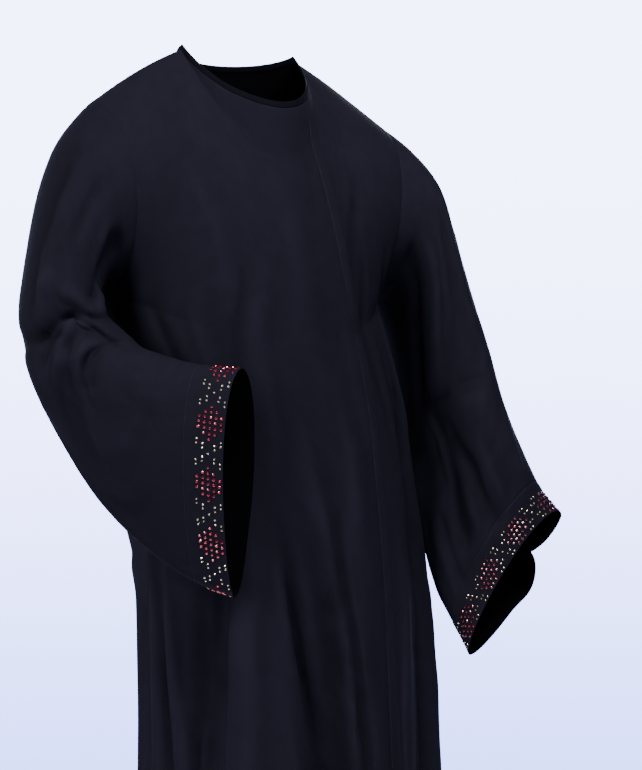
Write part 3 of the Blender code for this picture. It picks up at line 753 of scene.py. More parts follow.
RIGHT_LINES = (
    Line(((4.8, 4), (4.64, 28), (4.5, 67), (4.1, 89), (3.9, 103), (4.1, 119), (4.66, 135), (5.9, 152)),
         0.9, -0.24, 0.5),
    Line(((4.5, 86), (4.05, 104), (4.4, 122)), 2.6, 0.55),
    Line(((2.2, 134), (3.0, 136), (3.8, 137)), 3.2, 0.6),
    Line(((3.4, 70), (3.6, 86), (3.66, 104), (3.95, 138)), 1.2, -0.24, 0.3),
    Line(((5.5, 56), (5.1, 64), (4.7, 75), (4.4, 90), (4.2, 98)), 0.9, -0.30, 0.4),
    Line(((5.9, 62), (5.3, 74), (4.85, 84), (4.5, 97)), 1.0, 0.26, -0.3),
    Line(((6.2, 75), (5.66, 83), (5.06, 92), (4.6, 101), (4.25, 117)), 0.9, -0.32, 0.4),
    Line(((6.1, 87), (5.5, 95), (5.0, 105), (4.7, 117)), 1.0, 0.24, -0.3),
    Line(((6.6, 84), (5.96, 91), (5.66, 101), (5.26, 114), (5.05, 130)), 0.9, -0.30, 0.4),
    Line(((4.86, 73), (5.4, 73), (5.84, 65), (6.3, 55), (6.9, 45)), 2.0, -0.28, 0.3),
    Line(((5.4, 90), (6.04, 80), (6.57, 69), (7.3, 56)), 1.6, -0.26, -0.3),
    Line(((0.7, 24), (1.8, 28), (3.0, 36), (3.73, 48), (4.4, 54)), 1.7, -0.28, 0.3),
    Line(((3.0, 62), (3.5, 60), (4.2, 66)), 1.6, 0.22, 0.3),
    Line(((2.4, 12), (3.0, 34), (3.7, 48), (4.4, 58)), 0.5, -0.08, 0.0, True),
    Line(((2.9, 46), (2.6, 72), (2.3, 100)), 0.5, -0.09, 0.0, True),
    Line(((0.5, 70), (1.6, 66), (2.8, 64)), 1.8, -0.24, 0.4),
    Line(((0.6, 100), (1.6, 104), (2.6, 112), (3.3, 124)), 1.8, 0.24, -0.3),
    Line(((7.6, 306), (9.2, 306), (11.4, 306)), 5.5, -0.42, 0.2),
    Line(((6.6, 58), (7.2, 76), (7.8, 94)), 2.2, 0.20, 0.3),
    Line(((7.0, 26), (7.8, 44), (8.5, 66)), 2.2, -0.18, -0.3),
    Line(((5.6, 18), (6.2, 36), (6.8, 54)), 2.0, 0.18, 0.3),
    Line(((6.6, 118), (7.4, 112), (8.4, 110)), 2.0, -0.16, 0.3),
    Line(((1.0, 18), (1.9, 24), (2.8, 36)), 2.2, -0.16, 0.3),
    Line(((4.6, 352), (4.5, 326), (4.1, 292)), 1.3, -0.30, 0.4),
    Line(((4.1, 276), (4.4, 250), (5.0, 222)), 1.3, -0.30, -0.4),
    Line(((5.5, 320), (5.4, 286), (5.1, 248)), 1.5, 0.26, 0.4),
    Line(((3.4, 306), (3.6, 276), (3.5, 240)), 1.5, 0.24, -0.3),
    Line(((6.2, 332), (7.0, 304), (7.8, 270)), 2.0, -0.24, 0.3),
    Line(((1.0, 304), (2.0, 282), (3.0, 258)), 2.4, 0.24, -0.3),
    Line(((0.8, 242), (1.9, 228), (3.0, 216)), 2.2, -0.24, 0.3),
    # A low pressed ridge along the lower edge of the forearm, which also paints a light line there: a painted
    # highlight.
    Line(((6.2, 21), (7.4, 18), (8.4, 17), (9.4, 12), (11.0, 7)), 0.8, 0.26),
)
LEFT_LINES = (
    Line(((4.6, 116), (5.4, 106), (6.3, 93), (7.0, 88), (7.9, 82)), 1.5, -0.38, 0.5),
    Line(((4.3, 128), (5.0, 121), (5.9, 116), (6.7, 120), (7.5, 114)), 1.4, -0.36, -0.4),
    Line(((5.0, 116), (6.0, 107), (7.2, 101), (8.2, 99)), 2.2, -0.34, 0.3),
    Line(((4.4, 126), (4.5, 116), (4.7, 100)), 1.1, -0.26, 0.3),
    Line(((4.6, 98), (4.9, 76), (5.3, 50)), 0.6, -0.14, 0.0, True),
    Line(((5.0, 98), (5.3, 78), (5.7, 56)), 2.0, 0.24, 0.4),
    Line(((1.4, 124), (2.4, 129), (3.4, 136), (4.4, 141)), 1.7, -0.34, 0.4),
    Line(((1.0, 100), (2.4, 104), (4.2, 112)), 2.2, 0.24, 0.4),
    Line(((1.2, 70), (2.6, 78), (4.0, 84)), 2.4, -0.20, -0.3),
    Line(((2.0, 40), (3.2, 34), (4.6, 30)), 2.4, -0.20, 0.3),
    Line(((5.6, 28), (6.6, 36), (7.8, 46)), 2.0, 0.20, 0.3),
    Line(((5.8, 74), (6.8, 68), (7.8, 64)), 1.8, -0.24, -0.3),
    Line(((6.2, 142), (7.0, 138), (8.2, 132)), 1.6, -0.22, 0.3),
    Line(((1.2, 230), (3.0, 238), (5.0, 246)), 1.6, -0.30, 0.4),
    Line(((3.0, 298), (5.0, 282), (7.2, 262)), 1.6, -0.30, -0.4),
    Line(((1.2, 266), (2.4, 272), (3.8, 282)), 2.4, 0.26, 0.3),
    Line(((4.4, 218), (6.0, 212), (7.6, 206)), 1.9, 0.26, -0.3),
    Line(((2.0, 336), (3.6, 328), (5.4, 320)), 2.0, -0.24, 0.3),
    # A broad shallow trough that also paints this stretch of the forearm darker, as painted shade.
    Line(((4.6, 134), (6.0, 128), (7.4, 122), (8.4, 118)), 4.6, -0.32),
    Line(((4.4, 184), (5.8, 186), (7.2, 188), (8.7, 188)), 5.4, 0.70),
)


@dataclass(frozen=True)
class CreaseShape:
    """What keeps listed creases from being even, mostly as shares of their width, length or height."""

    reach: float = 2.5
    knot_steps: int = 6
    wander: float = 0.16
    widening: float = 0.22
    wave_share: float = 0.8
    wave_extra: tuple[float, float] = (6.0, 4.0)
    rising: float = 0.2
    rising_wave: float = 14.0
    seeds: tuple[float, float, float] = (1.3, 4.1, 2.7)
    lip: float = 0.28
    lip_place: float = 1.9
    taper: float = 0.32
    taper_power: float = 0.7

    def profile(self, crease: Line, off: Array) -> Array:
        """Cut across a crease: a pressed line, or a round ridge with a low lip along one side."""
        if crease.pressed:
            return np.exp(-np.abs(off))
        return np.exp(-(off**2)) - self.lip * np.exp(-((off - self.lip_place) ** 2))

    def height(self, crease: Line, index: int, sideways: Array, along: Array, length: float) -> Array:
        """Heights of one crease, with tapered ends.

        Args:
            crease: The crease.
            index: Its number, so that each one wanders in its own way.
            sideways: Distances from its line.
            along: Distances along its line.
            length: The line's length.

        Returns:
            Heights in centimetres.
        """
        waves = [self.wave_share * length + extra for extra in self.wave_extra]
        sideways = sideways - self.wander * crease.width * waver(along, waves[0], index + self.seeds[0])
        width = 0.5 * crease.width * (1.0 + self.widening * waver(along, waves[1], index + self.seeds[1]))
        off = sideways / (width * (1.0 + crease.lean * np.tanh(sideways / width)))
        share = along / length
        taper = ease(np.minimum(share, 1.0 - share) / self.taper) ** self.taper_power
        uneven = 1.0 + self.rising * waver(along, self.rising_wave, index + self.seeds[2])
        return crease.height * self.profile(crease, off) * taper * uneven


def beside(track: Array, x: Array, y: Array) -> tuple[Array, Array, float]:
    """Find where points lie beside a line.

    Args:
        track: Points of the line.
        x: First coordinate of each point.
        y: Second coordinate of each point.

    Returns:
        Distances sideways from the line and along it, and its length.
    """
    steps = np.diff(track, axis=0)
    run = run_lengths(track)
    nearest, sideways, along = np.full(x.shape, np.inf), np.zeros(x.shape), np.zeros(x.shape)
    for start, step, before, length in zip(track, steps, run, np.diff(run)):
        ahead_x, ahead_y = step / length
        past = np.clip((x - start[0]) * ahead_x + (y - start[1]) * ahead_y, 0.0, length)
        off_x, off_y = x - start[0] - ahead_x * past, y - start[1] - ahead_y * past
        away = np.hypot(off_x, off_y)
        closer = away < nearest
        nearest = np.where(closer, away, nearest)
        sideways = np.where(closer, away * np.sign(off_y * ahead_x - off_x * ahead_y), sideways)
        along = np.where(closer, before + past, along)
    return sideways, along, run[-1]


def crease_relief(lines: tuple[Line, ...], u: Array, v: Array, scale: tuple[float, float],
                  period: tuple[float, float], shape: CreaseShape = CreaseShape()) -> Array:
    """Heights of listed creases.

    Args:
        lines: The creases.
        u: First coordinate of each point of the cloth.
        v: Second coordinate of each point of the cloth.
        scale: Centimetres of cloth in one unit of each coordinate.
        period: How far each coordinate goes before the cloth repeats, or NO_REPEAT.
        shape: How uneven they are.

    Returns:
        Heights in centimetres.
    """
    height = np.zeros(np.broadcast(u, v).shape)
    for index, crease in enumerate(lines):
        knots = np.array(crease.path, float)
        here_u, here_v = (
            (value - repeat * np.round((value - middle) / repeat)) * unit_size
            for value, repeat, middle, unit_size in zip((u, v), period, knots.mean(axis=0), scale)
        )
        last = len(knots) - 1
        track = spline(knots * scale, np.linspace(0.0, last, shape.knot_steps * last + 1))
        low = track.min(axis=0) - shape.reach * crease.width
        high = track.max(axis=0) + shape.reach * crease.width
        inside = (here_u > low[0]) & (here_u < high[0]) & (here_v > low[1]) & (here_v < high[1])
        sideways, along, length = beside(track, here_u[inside], here_v[inside])
        height[inside] += shape.height(crease, index, sideways, along, length)
    return height


def ridge_share(main: Array, fine: Array, main_weight: float = 0.7, fine_weight: float = 2.0) -> Array:
    """How near places are to a ridge, from 0 to 1, by the heights of main and fine folds in centimetres; the
    cloth's finish paints ridges lighter and fold bottoms darker by it, as painted light and shade.
    """
    return 0.5 + 0.5 * np.tanh(main_weight * main + fine_weight * fine)


# ---------------------------------------------------------------- meshes


def placed(name: str, data: bpy.types.ID) -> bpy.types.Object:
    """Make an object of a mesh, a light or a camera and put it in the scene."""
    thing = bpy.data.objects.new(name, data)
    bpy.context.scene.collection.objects.link(thing)
    return thing


def mark_corners(mesh: bpy.types.Mesh, name: str, values: Array) -> None:
    """Give each corner of a mesh a number that its finish reads."""
    marks = mesh.attributes.new(name, "FLOAT", "POINT")
    marks.data.foreach_set("value", np.ascontiguousarray(values, dtype=np.float32).reshape(-1))


@dataclass
class Surface:
    """The outer face of a finished cloth, for what is sewn or stuck on it."""

    points: Array
    normals: Array

    def at(self, row: Array, column: Array) -> tuple[Array, Array, Array]:
        """Read places between the grid's points.

        Args:
            row: Fractional rows.
            column: Fractional columns.

        Returns:
            The places, their normals, and the direction of rising columns there.
        """
        rows, columns = self.points.shape[:2]
        r = np.clip(row.astype(int), 0, rows - 2)
        c = np.clip(column.astype(int), 0, columns - 2)
        a, b = (row - r)[:, None], (column - c)[:, None]
        corners = ((r, c, (1 - a) * (1 - b)), (r + 1, c, a * (1 - b)),
                   (r, c + 1, (1 - a) * b), (r + 1, c + 1, a * b))
        places = sum(self.points[i, j] * weight for i, j, weight in corners)
        normals = unit(sum(self.normals[i, j] * weight for i, j, weight in corners))
        along = unit(self.points[r, c + 1] - self.points[r, c])
        return places, normals, along


@dataclass
class ClothSheet:
    """One cut piece of cloth: a grid of points given the thickness of the cloth, in metres."""

    name: str
    node: str
    slot: str = "crepe"
    closed: bool = False
    thickness: float = 0.0010
    clearance: float = 0.0010
    sharp_angle: float = 50.0
    least_area_share: float = 0.3

    def wall(self, points: Array, relief: Array, swell: Array) -> tuple[bpy.types.Object, Surface]:
        """Build the piece.

        Args:
            points: Rows of points on the inside of the cloth, from the top down, in metres.
            relief: How far each point stands out from there, in metres.
            swell: 0 at the bottom of a fold and 1 on its ridge, which the finish paints as shade at the bottom
                and light on the ridge: painted shade and painted highlight.

        Returns:
            The object and its outer face.
        """
        normals = grid_normals(points, self.closed)
        middle = points + normals * (relief + self.clearance)[..., None]
        rows, columns = middle.shape[:2]
        used = columns - 1 if self.closed else columns
        r, c = np.meshgrid(np.arange(rows - 1), np.arange(columns - 1), indexing="ij")
        corner_rows = np.stack([r, r + 1, r + 1, r], axis=-1).reshape(-1)
        corner_columns = np.stack([c, c, c + 1, c + 1], axis=-1).reshape(-1)
        mesh = bpy.data.meshes.new(self.name)
        mesh.from_pydata(middle[:, :used].reshape(-1, 3), [],
                         (corner_rows * used + corner_columns % used).reshape(-1, 4))
        across, down = run_lengths(points, 1), run_lengths(points, 0)
        uv = np.stack([across[corner_rows, corner_columns], down[corner_rows, corner_columns]], axis=-1)
        mesh.uv_layers.new(name=CLOTH_UV).data.foreach_set("uv", uv.reshape(-1))
        # The swell marks drive painted shade in the fold bottoms and painted light on the ridges.
        mark_corners(mesh, "swell", swell[:, :used])
        piece = placed(self.name, mesh)
        self.thicken(piece)
        self.mark_reverse(piece, middle[:, :used].reshape(-1, 3), normals[:, :used].reshape(-1, 3))
        self.flat = (float(across[:, -1].max()), float(down[-1].max()))
        quads = np.cross(middle[1:, 1:] - middle[:-1, :-1], middle[:-1, 1:] - middle[1:, :-1])
        self.area = float(0.5 * np.linalg.norm(quads, axis=-1).sum())
        fresh = grid_normals(middle, self.closed)
        return piece, Surface(middle + fresh * (0.5 * self.thickness), fresh)

    def thicken(self, piece: bpy.types.Object) -> None:
        """Turn the sheet into a thin closed wall with smooth faces."""
        bpy.ops.object.select_all(action="DESELECT")
        bpy.context.view_layer.objects.active = piece
        piece.select_set(True)
        wall = piece.modifiers.new("cloth", "SOLIDIFY")
        wall.thickness = self.thickness
        wall.offset = 0.0
        bpy.ops.object.modifier_apply(modifier=wall.name)
        piece.data.shade_smooth()
        piece.data.set_sharp_from_angle(angle=math.radians(self.sharp_angle))

    def mark_reverse(self, piece: bpy.types.Object, middle: Array, normals: Array) -> None:
        """Mark the corners on the reverse side of the cloth, which its finish paints darker as painted shade
        inside the cloth.

        Args:
            piece: The finished wall, with the sheet's corners twice over.
            middle: The sheet's corners.
            normals: The sheet's outward normals there.
        """
        corners = np.empty(3 * len(piece.data.vertices))
        piece.data.vertices.foreach_get("co", corners)
        away = corners.reshape(2, -1, 3) - middle[None]
        mark_corners(piece.data, "reverse", (away * normals[None]).sum(axis=-1) < 0)

    def declare(self, piece: bpy.types.Object, material: bpy.types.Material) -> None:
        """Dress the piece, hide the node it stands for and give the size it is cut to."""
        piece.data.materials.clear()
        piece.data.materials.append(material)
        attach(piece, "root")
        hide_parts(self.node)
        LOG.info("%s: cut %.2f x %.2f m, %.3f square metres", self.name, *self.flat, self.area)


def joined_copies(name: str, model: bpy.types.Mesh, places: Array, axes: Array, sizes: Array,
                  tones: Array) -> bpy.types.Object:
    """Copy a small model to many places, each copy with its own faces, in one object.

    Args:
        name: The object's name.
        model: The model, with its foot at the origin and its top along Z.
        places: Where each copy goes.
        axes: For each copy, its X, Y and Z directions.
        sizes: How many times its size each copy has.
        tones: A number for each copy, which its finish reads.

    Returns:
        The object.
    """
    corners = np.array([vertex.co[:] for vertex in model.vertices])
    faces = [list(polygon.vertices) for polygon in model.polygons]
    count, each = len(places), len(corners)
    points = np.einsum("nk,pkx->pnx", corners, axes) * sizes[:, None, None] + places[:, None, :]
    shifted = [[index + each * copy for index in face] for copy in range(count) for face in faces]
    mesh = bpy.data.meshes.new(name)
    mesh.from_pydata(points.reshape(-1, 3), [], shifted)
    mark_corners(mesh, "tone", np.repeat(tones, each))
    return placed(name, mesh)


def extruded_cylinder(sides: int, radius: float, depth: float, place: dict[str, Point],
                      ends: tuple[tuple[Point, tuple[tuple[Point, Point], ...]], ...]) -> bpy.types.Mesh:
    """Model a small cylinder whose ends are drawn out in steps.

    Args:
        sides: How many sides it has.
        radius: Its radius.
        depth: Its length.
        place: Its location or its rotation.
        ends: For each end, the direction that it faces and its steps, each a move and a resizing.

    Returns:
        The mesh, without its object.
    """
    bpy.ops.object.select_all(action="DESELECT")
    bpy.ops.mesh.primitive_cylinder_add(vertices=sides, radius=radius, depth=depth, **place)
    piece = bpy.context.object
    bpy.ops.object.transform_apply(location=True, rotation=True, scale=True)
    bpy.ops.object.mode_set(mode="EDIT")
    bpy.ops.mesh.select_mode(type="FACE")
    for facing, steps in ends:
        bpy.ops.mesh.select_all(action="DESELECT")
        tool = bmesh.from_edit_mesh(piece.data)
        for part in tool.faces:
            part.select_set(part.normal.dot(Vector(facing)) > FACING)
        bmesh.update_edit_mesh(piece.data)
        for move, size in steps:
            bpy.ops.mesh.extrude_region_move(TRANSFORM_OT_translate={"value": move})
            bpy.ops.transform.resize(value=size)
    bpy.ops.object.mode_set(mode="OBJECT")
    mesh = piece.data
    bpy.data.objects.remove(piece)
    return mesh


# ---------------------------------------------------------------- finishes


@dataclass
class NodeBench:
    """Adds nodes to one tree and joins them up."""

    tree: bpy.types.NodeTree

    def add(self, kind: str, inputs: dict | None = None, **settings: object) -> bpy.types.Node:
        """Add a node.

        Args:
            kind: The node's type.
            inputs: Values or sockets for its inputs, by name or number.
            settings: Values for its own settings.

        Returns:
            The node.
        """
        node = self.tree.nodes.new(kind)
        for name, value in settings.items():
            setattr(node, name, value)
        self.fill(node, inputs or {})
        return node

    def fill(self, node: bpy.types.Node, inputs: dict) -> None:
        """Give a node's inputs their values, or join them to other sockets."""
        for name, value in inputs.items():
            if isinstance(value, bpy.types.NodeSocket):
                self.tree.links.new(value, node.inputs[name])
            else:
                node.inputs[name].default_value = value

    def math(self, operation: str, *values: object) -> bpy.types.NodeSocket:
        """Work out a number from others."""
        return self.add("ShaderNodeMath", dict(enumerate(values)), operation=operation).outputs[0]

    def mix(self, share: bpy.types.NodeSocket, first: object, second: object) -> bpy.types.NodeSocket:
        """Mix two colours."""
        inputs = {"Factor": share, "A": first, "B": second}
        return self.add("ShaderNodeMix", inputs, data_type="RGBA").outputs["Result"]

    def ramp(self, factor: bpy.types.NodeSocket, low: float, high: float, start: float = 0.0, end: float = 1.0,
             **settings: object) -> bpy.types.NodeSocket:
        """Stretch a factor, so that between its start and its end it runs from low to high."""
        inputs = {"Value": factor, "From Min": start, "From Max": end, "To Min": low, "To Max": high}
        return self.add("ShaderNodeMapRange", inputs, **settings).outputs["Result"]

    def noise(self, place: bpy.types.NodeSocket, scale: object, detail: float = 2.0,
              roughness: float = 0.5) -> bpy.types.NodeSocket:
        """Read a cloudy noise at a place."""
        inputs = {"Vector": place, "Scale": scale, "Detail": detail, "Roughness": roughness}
        return self.add("ShaderNodeTexNoise", inputs).outputs["Fac"]

    def bump(self, height: bpy.types.NodeSocket, strength: float, depth: float) -> bpy.types.NodeSocket:
        """Turn heights into a normal."""
        inputs = {"Height": height, "Strength": strength, "Distance": depth}
        return self.add("ShaderNodeBump", inputs).outputs["Normal"]

    def mark(self, name: str) -> bpy.types.NodeSocket:
        """Read the number that a mesh's corners carry."""
        return self.add("ShaderNodeAttribute", attribute_name=name).outputs["Fac"]

    def place(self) -> bpy.types.NodeSocket:
        """Read the place on the object."""
        return self.add("ShaderNodeTexCoord").outputs["Object"]


def shader_group(name: str, inputs: dict[str, float],
                 outputs: tuple[str, ...]) -> tuple[NodeBench, dict[str, bpy.types.NodeSocket], bpy.types.Node]:
    """Start a group of nodes with numbers going in and coming out, and a place to read it at.

    Args:
        name: The group's name.
        inputs: Its numbers, with the values that they start with.
        outputs: Names of the numbers that it gives.

    Returns:
        A bench for its tree, its input sockets by name, and its output node.
    """
    tree = bpy.data.node_groups.new(name, "ShaderNodeTree")
    tree.interface.new_socket("Place", in_out="INPUT", socket_type="NodeSocketVector")
    for key, value in inputs.items():
        tree.interface.new_socket(key, in_out="INPUT", socket_type="NodeSocketFloat").default_value = value
    for key in outputs:
        tree.interface.new_socket(key, in_out="OUTPUT", socket_type="NodeSocketFloat")
    start, end = tree.nodes.new("NodeGroupInput"), tree.nodes.new("NodeGroupOutput")
    return NodeBench(tree), {socket.name: socket for socket in start.outputs}, end


def crepe_grain() -> bpy.types.NodeTree:
    """The pebbled grain of crepe over its fine crossing threads, as a height and a tone."""
    bench, given, end = shader_group("crepe_grain", {"Pebble": 900.0, "Thread": 2100.0}, ("Height", "Tone"))
    pebble = bench.noise(given["Place"], given["Pebble"], 3.0, 0.6)
    split = bench.add("ShaderNodeSeparateXYZ", {"Vector": given["Place"]})
    threads = [
        bench.math("SINE", bench.math("MULTIPLY", split.outputs[axis], given["Thread"])) for axis in ("X", "Y")
    ]
    crossing = bench.math("MULTIPLY", *threads)
    bench.fill(end, {"Height": bench.math("MULTIPLY_ADD", crossing, 0.18, pebble), "Tone": pebble})
    return bench.tree


def cloth_drift() -> bpy.types.NodeTree:
    """Slow changes over a cloth: where it has been handled, and where dye and nap lie unevenly."""
    bench, given, end = shader_group("cloth_drift", {"Broad": 5.0, "Close": 38.0}, ("Handled", "Nap"))
    bench.fill(end, {
        "Handled": bench.noise(given["Place"], given["Broad"]),
        "Nap": bench.noise(given["Place"], given["Close"], 4.0, 0.7),
    })
    return bench.tree


def new_material(name: str) -> tuple[bpy.types.Material, NodeBench, bpy.types.Node]:
    """Start a material and give it, its bench and its shader."""
    material = bpy.data.materials.new(name)
    material.use_nodes = True
    return material, NodeBench(material.node_tree), material.node_tree.nodes["Principled BSDF"]


@dataclass(frozen=True)
class CrepeFinish:
    """Smooth black crepe with a faint sheen; its colour is painted lighter on fold ridges and darker in fold
    bottoms and on the reverse side, as painted light and shade, over its own uneven grain and nap.
    """

    name: str
    # deep and lit are the shaded and the lit ends of the painted light and shade, with the grain and nap tone
    # between them.
    deep: Colour = (0.0021, 0.0020, 0.0033, 1.0)
    lit: Colour = (0.0066, 0.0064, 0.0104, 1.0)
    # Painted shade for the reverse side of the cloth, kept darker than its face.
    reverse_painted_shade: Colour = (0.0009, 0.0009, 0.0013, 1.0)
    grain_wear: float = 0.55
    nap_wear: float = 0.45
    wear_range: tuple[float, float] = (-0.35, 0.65)
    # How strongly the fold marks paint ridges lighter and fold bottoms darker: painted light and shade.
    painted_fold_shading: float = 0.75
    roughness: tuple[float, float] = (0.56, 0.72)
    specular: float = 0.003
    sheen: float = 0.0012
    sheen_roughness: float = 0.45
    sheen_tint: Colour = (0.80, 0.82, 1.0, 1.0)
    grain_strength: float = 0.55
    grain_depth: float = 0.00016

    def make(self, grain: bpy.types.NodeTree, drift: bpy.types.NodeTree) -> bpy.types.Material:
        """Build the material from the shared effects."""
        material, bench, shader = new_material(self.name)
        uv = bench.add("ShaderNodeUVMap", uv_map=CLOTH_UV).outputs["UV"]
        weave = bench.add("ShaderNodeGroup", {"Place": uv}, node_tree=grain).outputs
        slow = bench.add("ShaderNodeGroup", {"Place": uv}, node_tree=drift).outputs
        worn = bench.math("MULTIPLY_ADD", slow["Nap"], self.nap_wear,
                          bench.math("MULTIPLY", weave["Tone"], self.grain_wear))
        # Painted light and shade from the fold marks, added to the grain and nap tone.
        ridge = bench.math("MULTIPLY_ADD", bench.mark("swell"), self.painted_fold_shading,
                           bench.ramp(worn, *self.wear_range))
        bench.fill(shader, {
            # The reverse side is painted darker, as painted shade.
            "Base Color": bench.mix(bench.mark("reverse"), bench.mix(ridge, self.deep, self.lit),
                                    self.reverse_painted_shade),
            "Roughness": bench.ramp(slow["Handled"], *self.roughness),
            "Normal": bench.bump(weave["Height"], self.grain_strength, self.grain_depth),
            "Specular IOR Level": self.specular,
            "Sheen Weight": self.sheen,
            "Sheen Roughness": self.sheen_roughness,
            "Sheen Tint": self.sheen_tint,
        })
        return material


@dataclass(frozen=True)
class ThreadFinish:
    """Black polyester thread, a little glossier than the cloth."""

    name: str = "thread"
    deep: Colour = (0.003, 0.003, 0.005, 1.0)
    lit: Colour = (0.010, 0.010, 0.014, 1.0)
    plies: float = 900.0
    ply_bend: float = 1.5
    ply_strength: float = 0.5
    ply_depth: float = 0.0001
    roughness: tuple[float, float] = (0.38, 0.55)
    specular: float = 0.08

    def make(self) -> bpy.types.Material:
        """Build the material, with its plies as a fine slanted wave."""
        material, bench, shader = new_material(self.name)
        inputs = {"Vector": bench.place(), "Scale": self.plies, "Distortion": self.ply_bend}
        plies = bench.add("ShaderNodeTexWave", inputs, bands_direction="DIAGONAL").outputs["Fac"]
        bench.fill(shader, {
            # The plies' crests are painted lighter and their grooves darker, as painted light and shade.
            "Base Color": bench.mix(plies, self.deep, self.lit),
            "Roughness": bench.ramp(plies, *self.roughness),
            "Normal": bench.bump(plies, self.ply_strength, self.ply_depth),
            "Specular IOR Level": self.specular,
        })
        return material


@dataclass(frozen=True)
class CrystalFinish:
    """Foil-backed cut glass of one colour."""

    name: str
    dark: Colour
    bright: Colour
    cloud: float = 700.0
    stone_share: float = 0.6
    cloud_share: float = 0.4
    roughness: tuple[float, float] = (0.10, 0.22)
    metallic: float = 0.85
    coat_roughness: float = 0.03
    coat_index: float = 1.6

    def make(self) -> bpy.types.Material:
        """Build the material: foil seen through a clear coat, with each stone a little different."""
        material, bench, shader = new_material(self.name)
        cloud = bench.noise(bench.place(), self.cloud, 1.0)
        share = bench.math("MULTIPLY_ADD", cloud, self.cloud_share,
                           bench.math("MULTIPLY", bench.mark("tone"), self.stone_share))
        bench.fill(shader, {
            "Base Color": bench.mix(share, self.dark, self.bright),
            "Roughness": bench.ramp(cloud, *self.roughness),
            "Metallic": self.metallic,
            "Coat Weight": 1.0,
            "Coat Roughness": self.coat_roughness,
            "Coat IOR": self.coat_index,
        })
        return material


# ---------------------------------------------------------------- the body's pieces


@dataclass(frozen=True)
class Panel:
    """One cut piece of the body: the lines that bound its stretches and its columns in each stretch."""

    node: str
    face: Face
    stops: tuple[Array, ...]
    counts: tuple[int, ...]
    sewn: tuple[bool, bool]
    close: tuple[bool, bool]
    lifted: bool = False

    def across(self) -> Array:
        """Places across, by row and column, with extra columns at the edges that ask for them."""
        parts = [self.stops[0][:, None]]
        last = len(self.counts) - 1
        for index, (start, end, count) in enumerate(zip(self.stops, self.stops[1:], self.counts)):
            share = fine_ends(count, self.close[0] and index == 0, self.close[1] and index == last)
            parts.append(start[:, None] + (end - start)[:, None] * share[None, 1:])
        return np.concatenate(parts, axis=1)


@dataclass(frozen=True)
class BandShape:
    """The front band's own shape, in metres: doubled cloth with a rolled edge and a stitched line."""

    rise: float = 0.0004
    rise_reach: float = 0.0012
    roll: float = 0.0005
    roll_reach: float = 0.0011
    stitched: float = 0.00035
    stitched_place: float = 0.0022
    stitched_reach: float = 0.0009

    def relief(self, points: Array) -> Array:
        """Heights over a grid whose first column lies on the band's seam."""
        run = run_lengths(points, 1)
        away = run[:, -1:] - run
        rolled = self.roll * np.exp(-((away / self.roll_reach) ** 2))
        stitched = self.stitched * np.exp(-(((run - self.stitched_place) / self.stitched_reach) ** 2))
        return self.rise * (1.0 - np.exp(-run / self.rise_reach)) - rolled - stitched


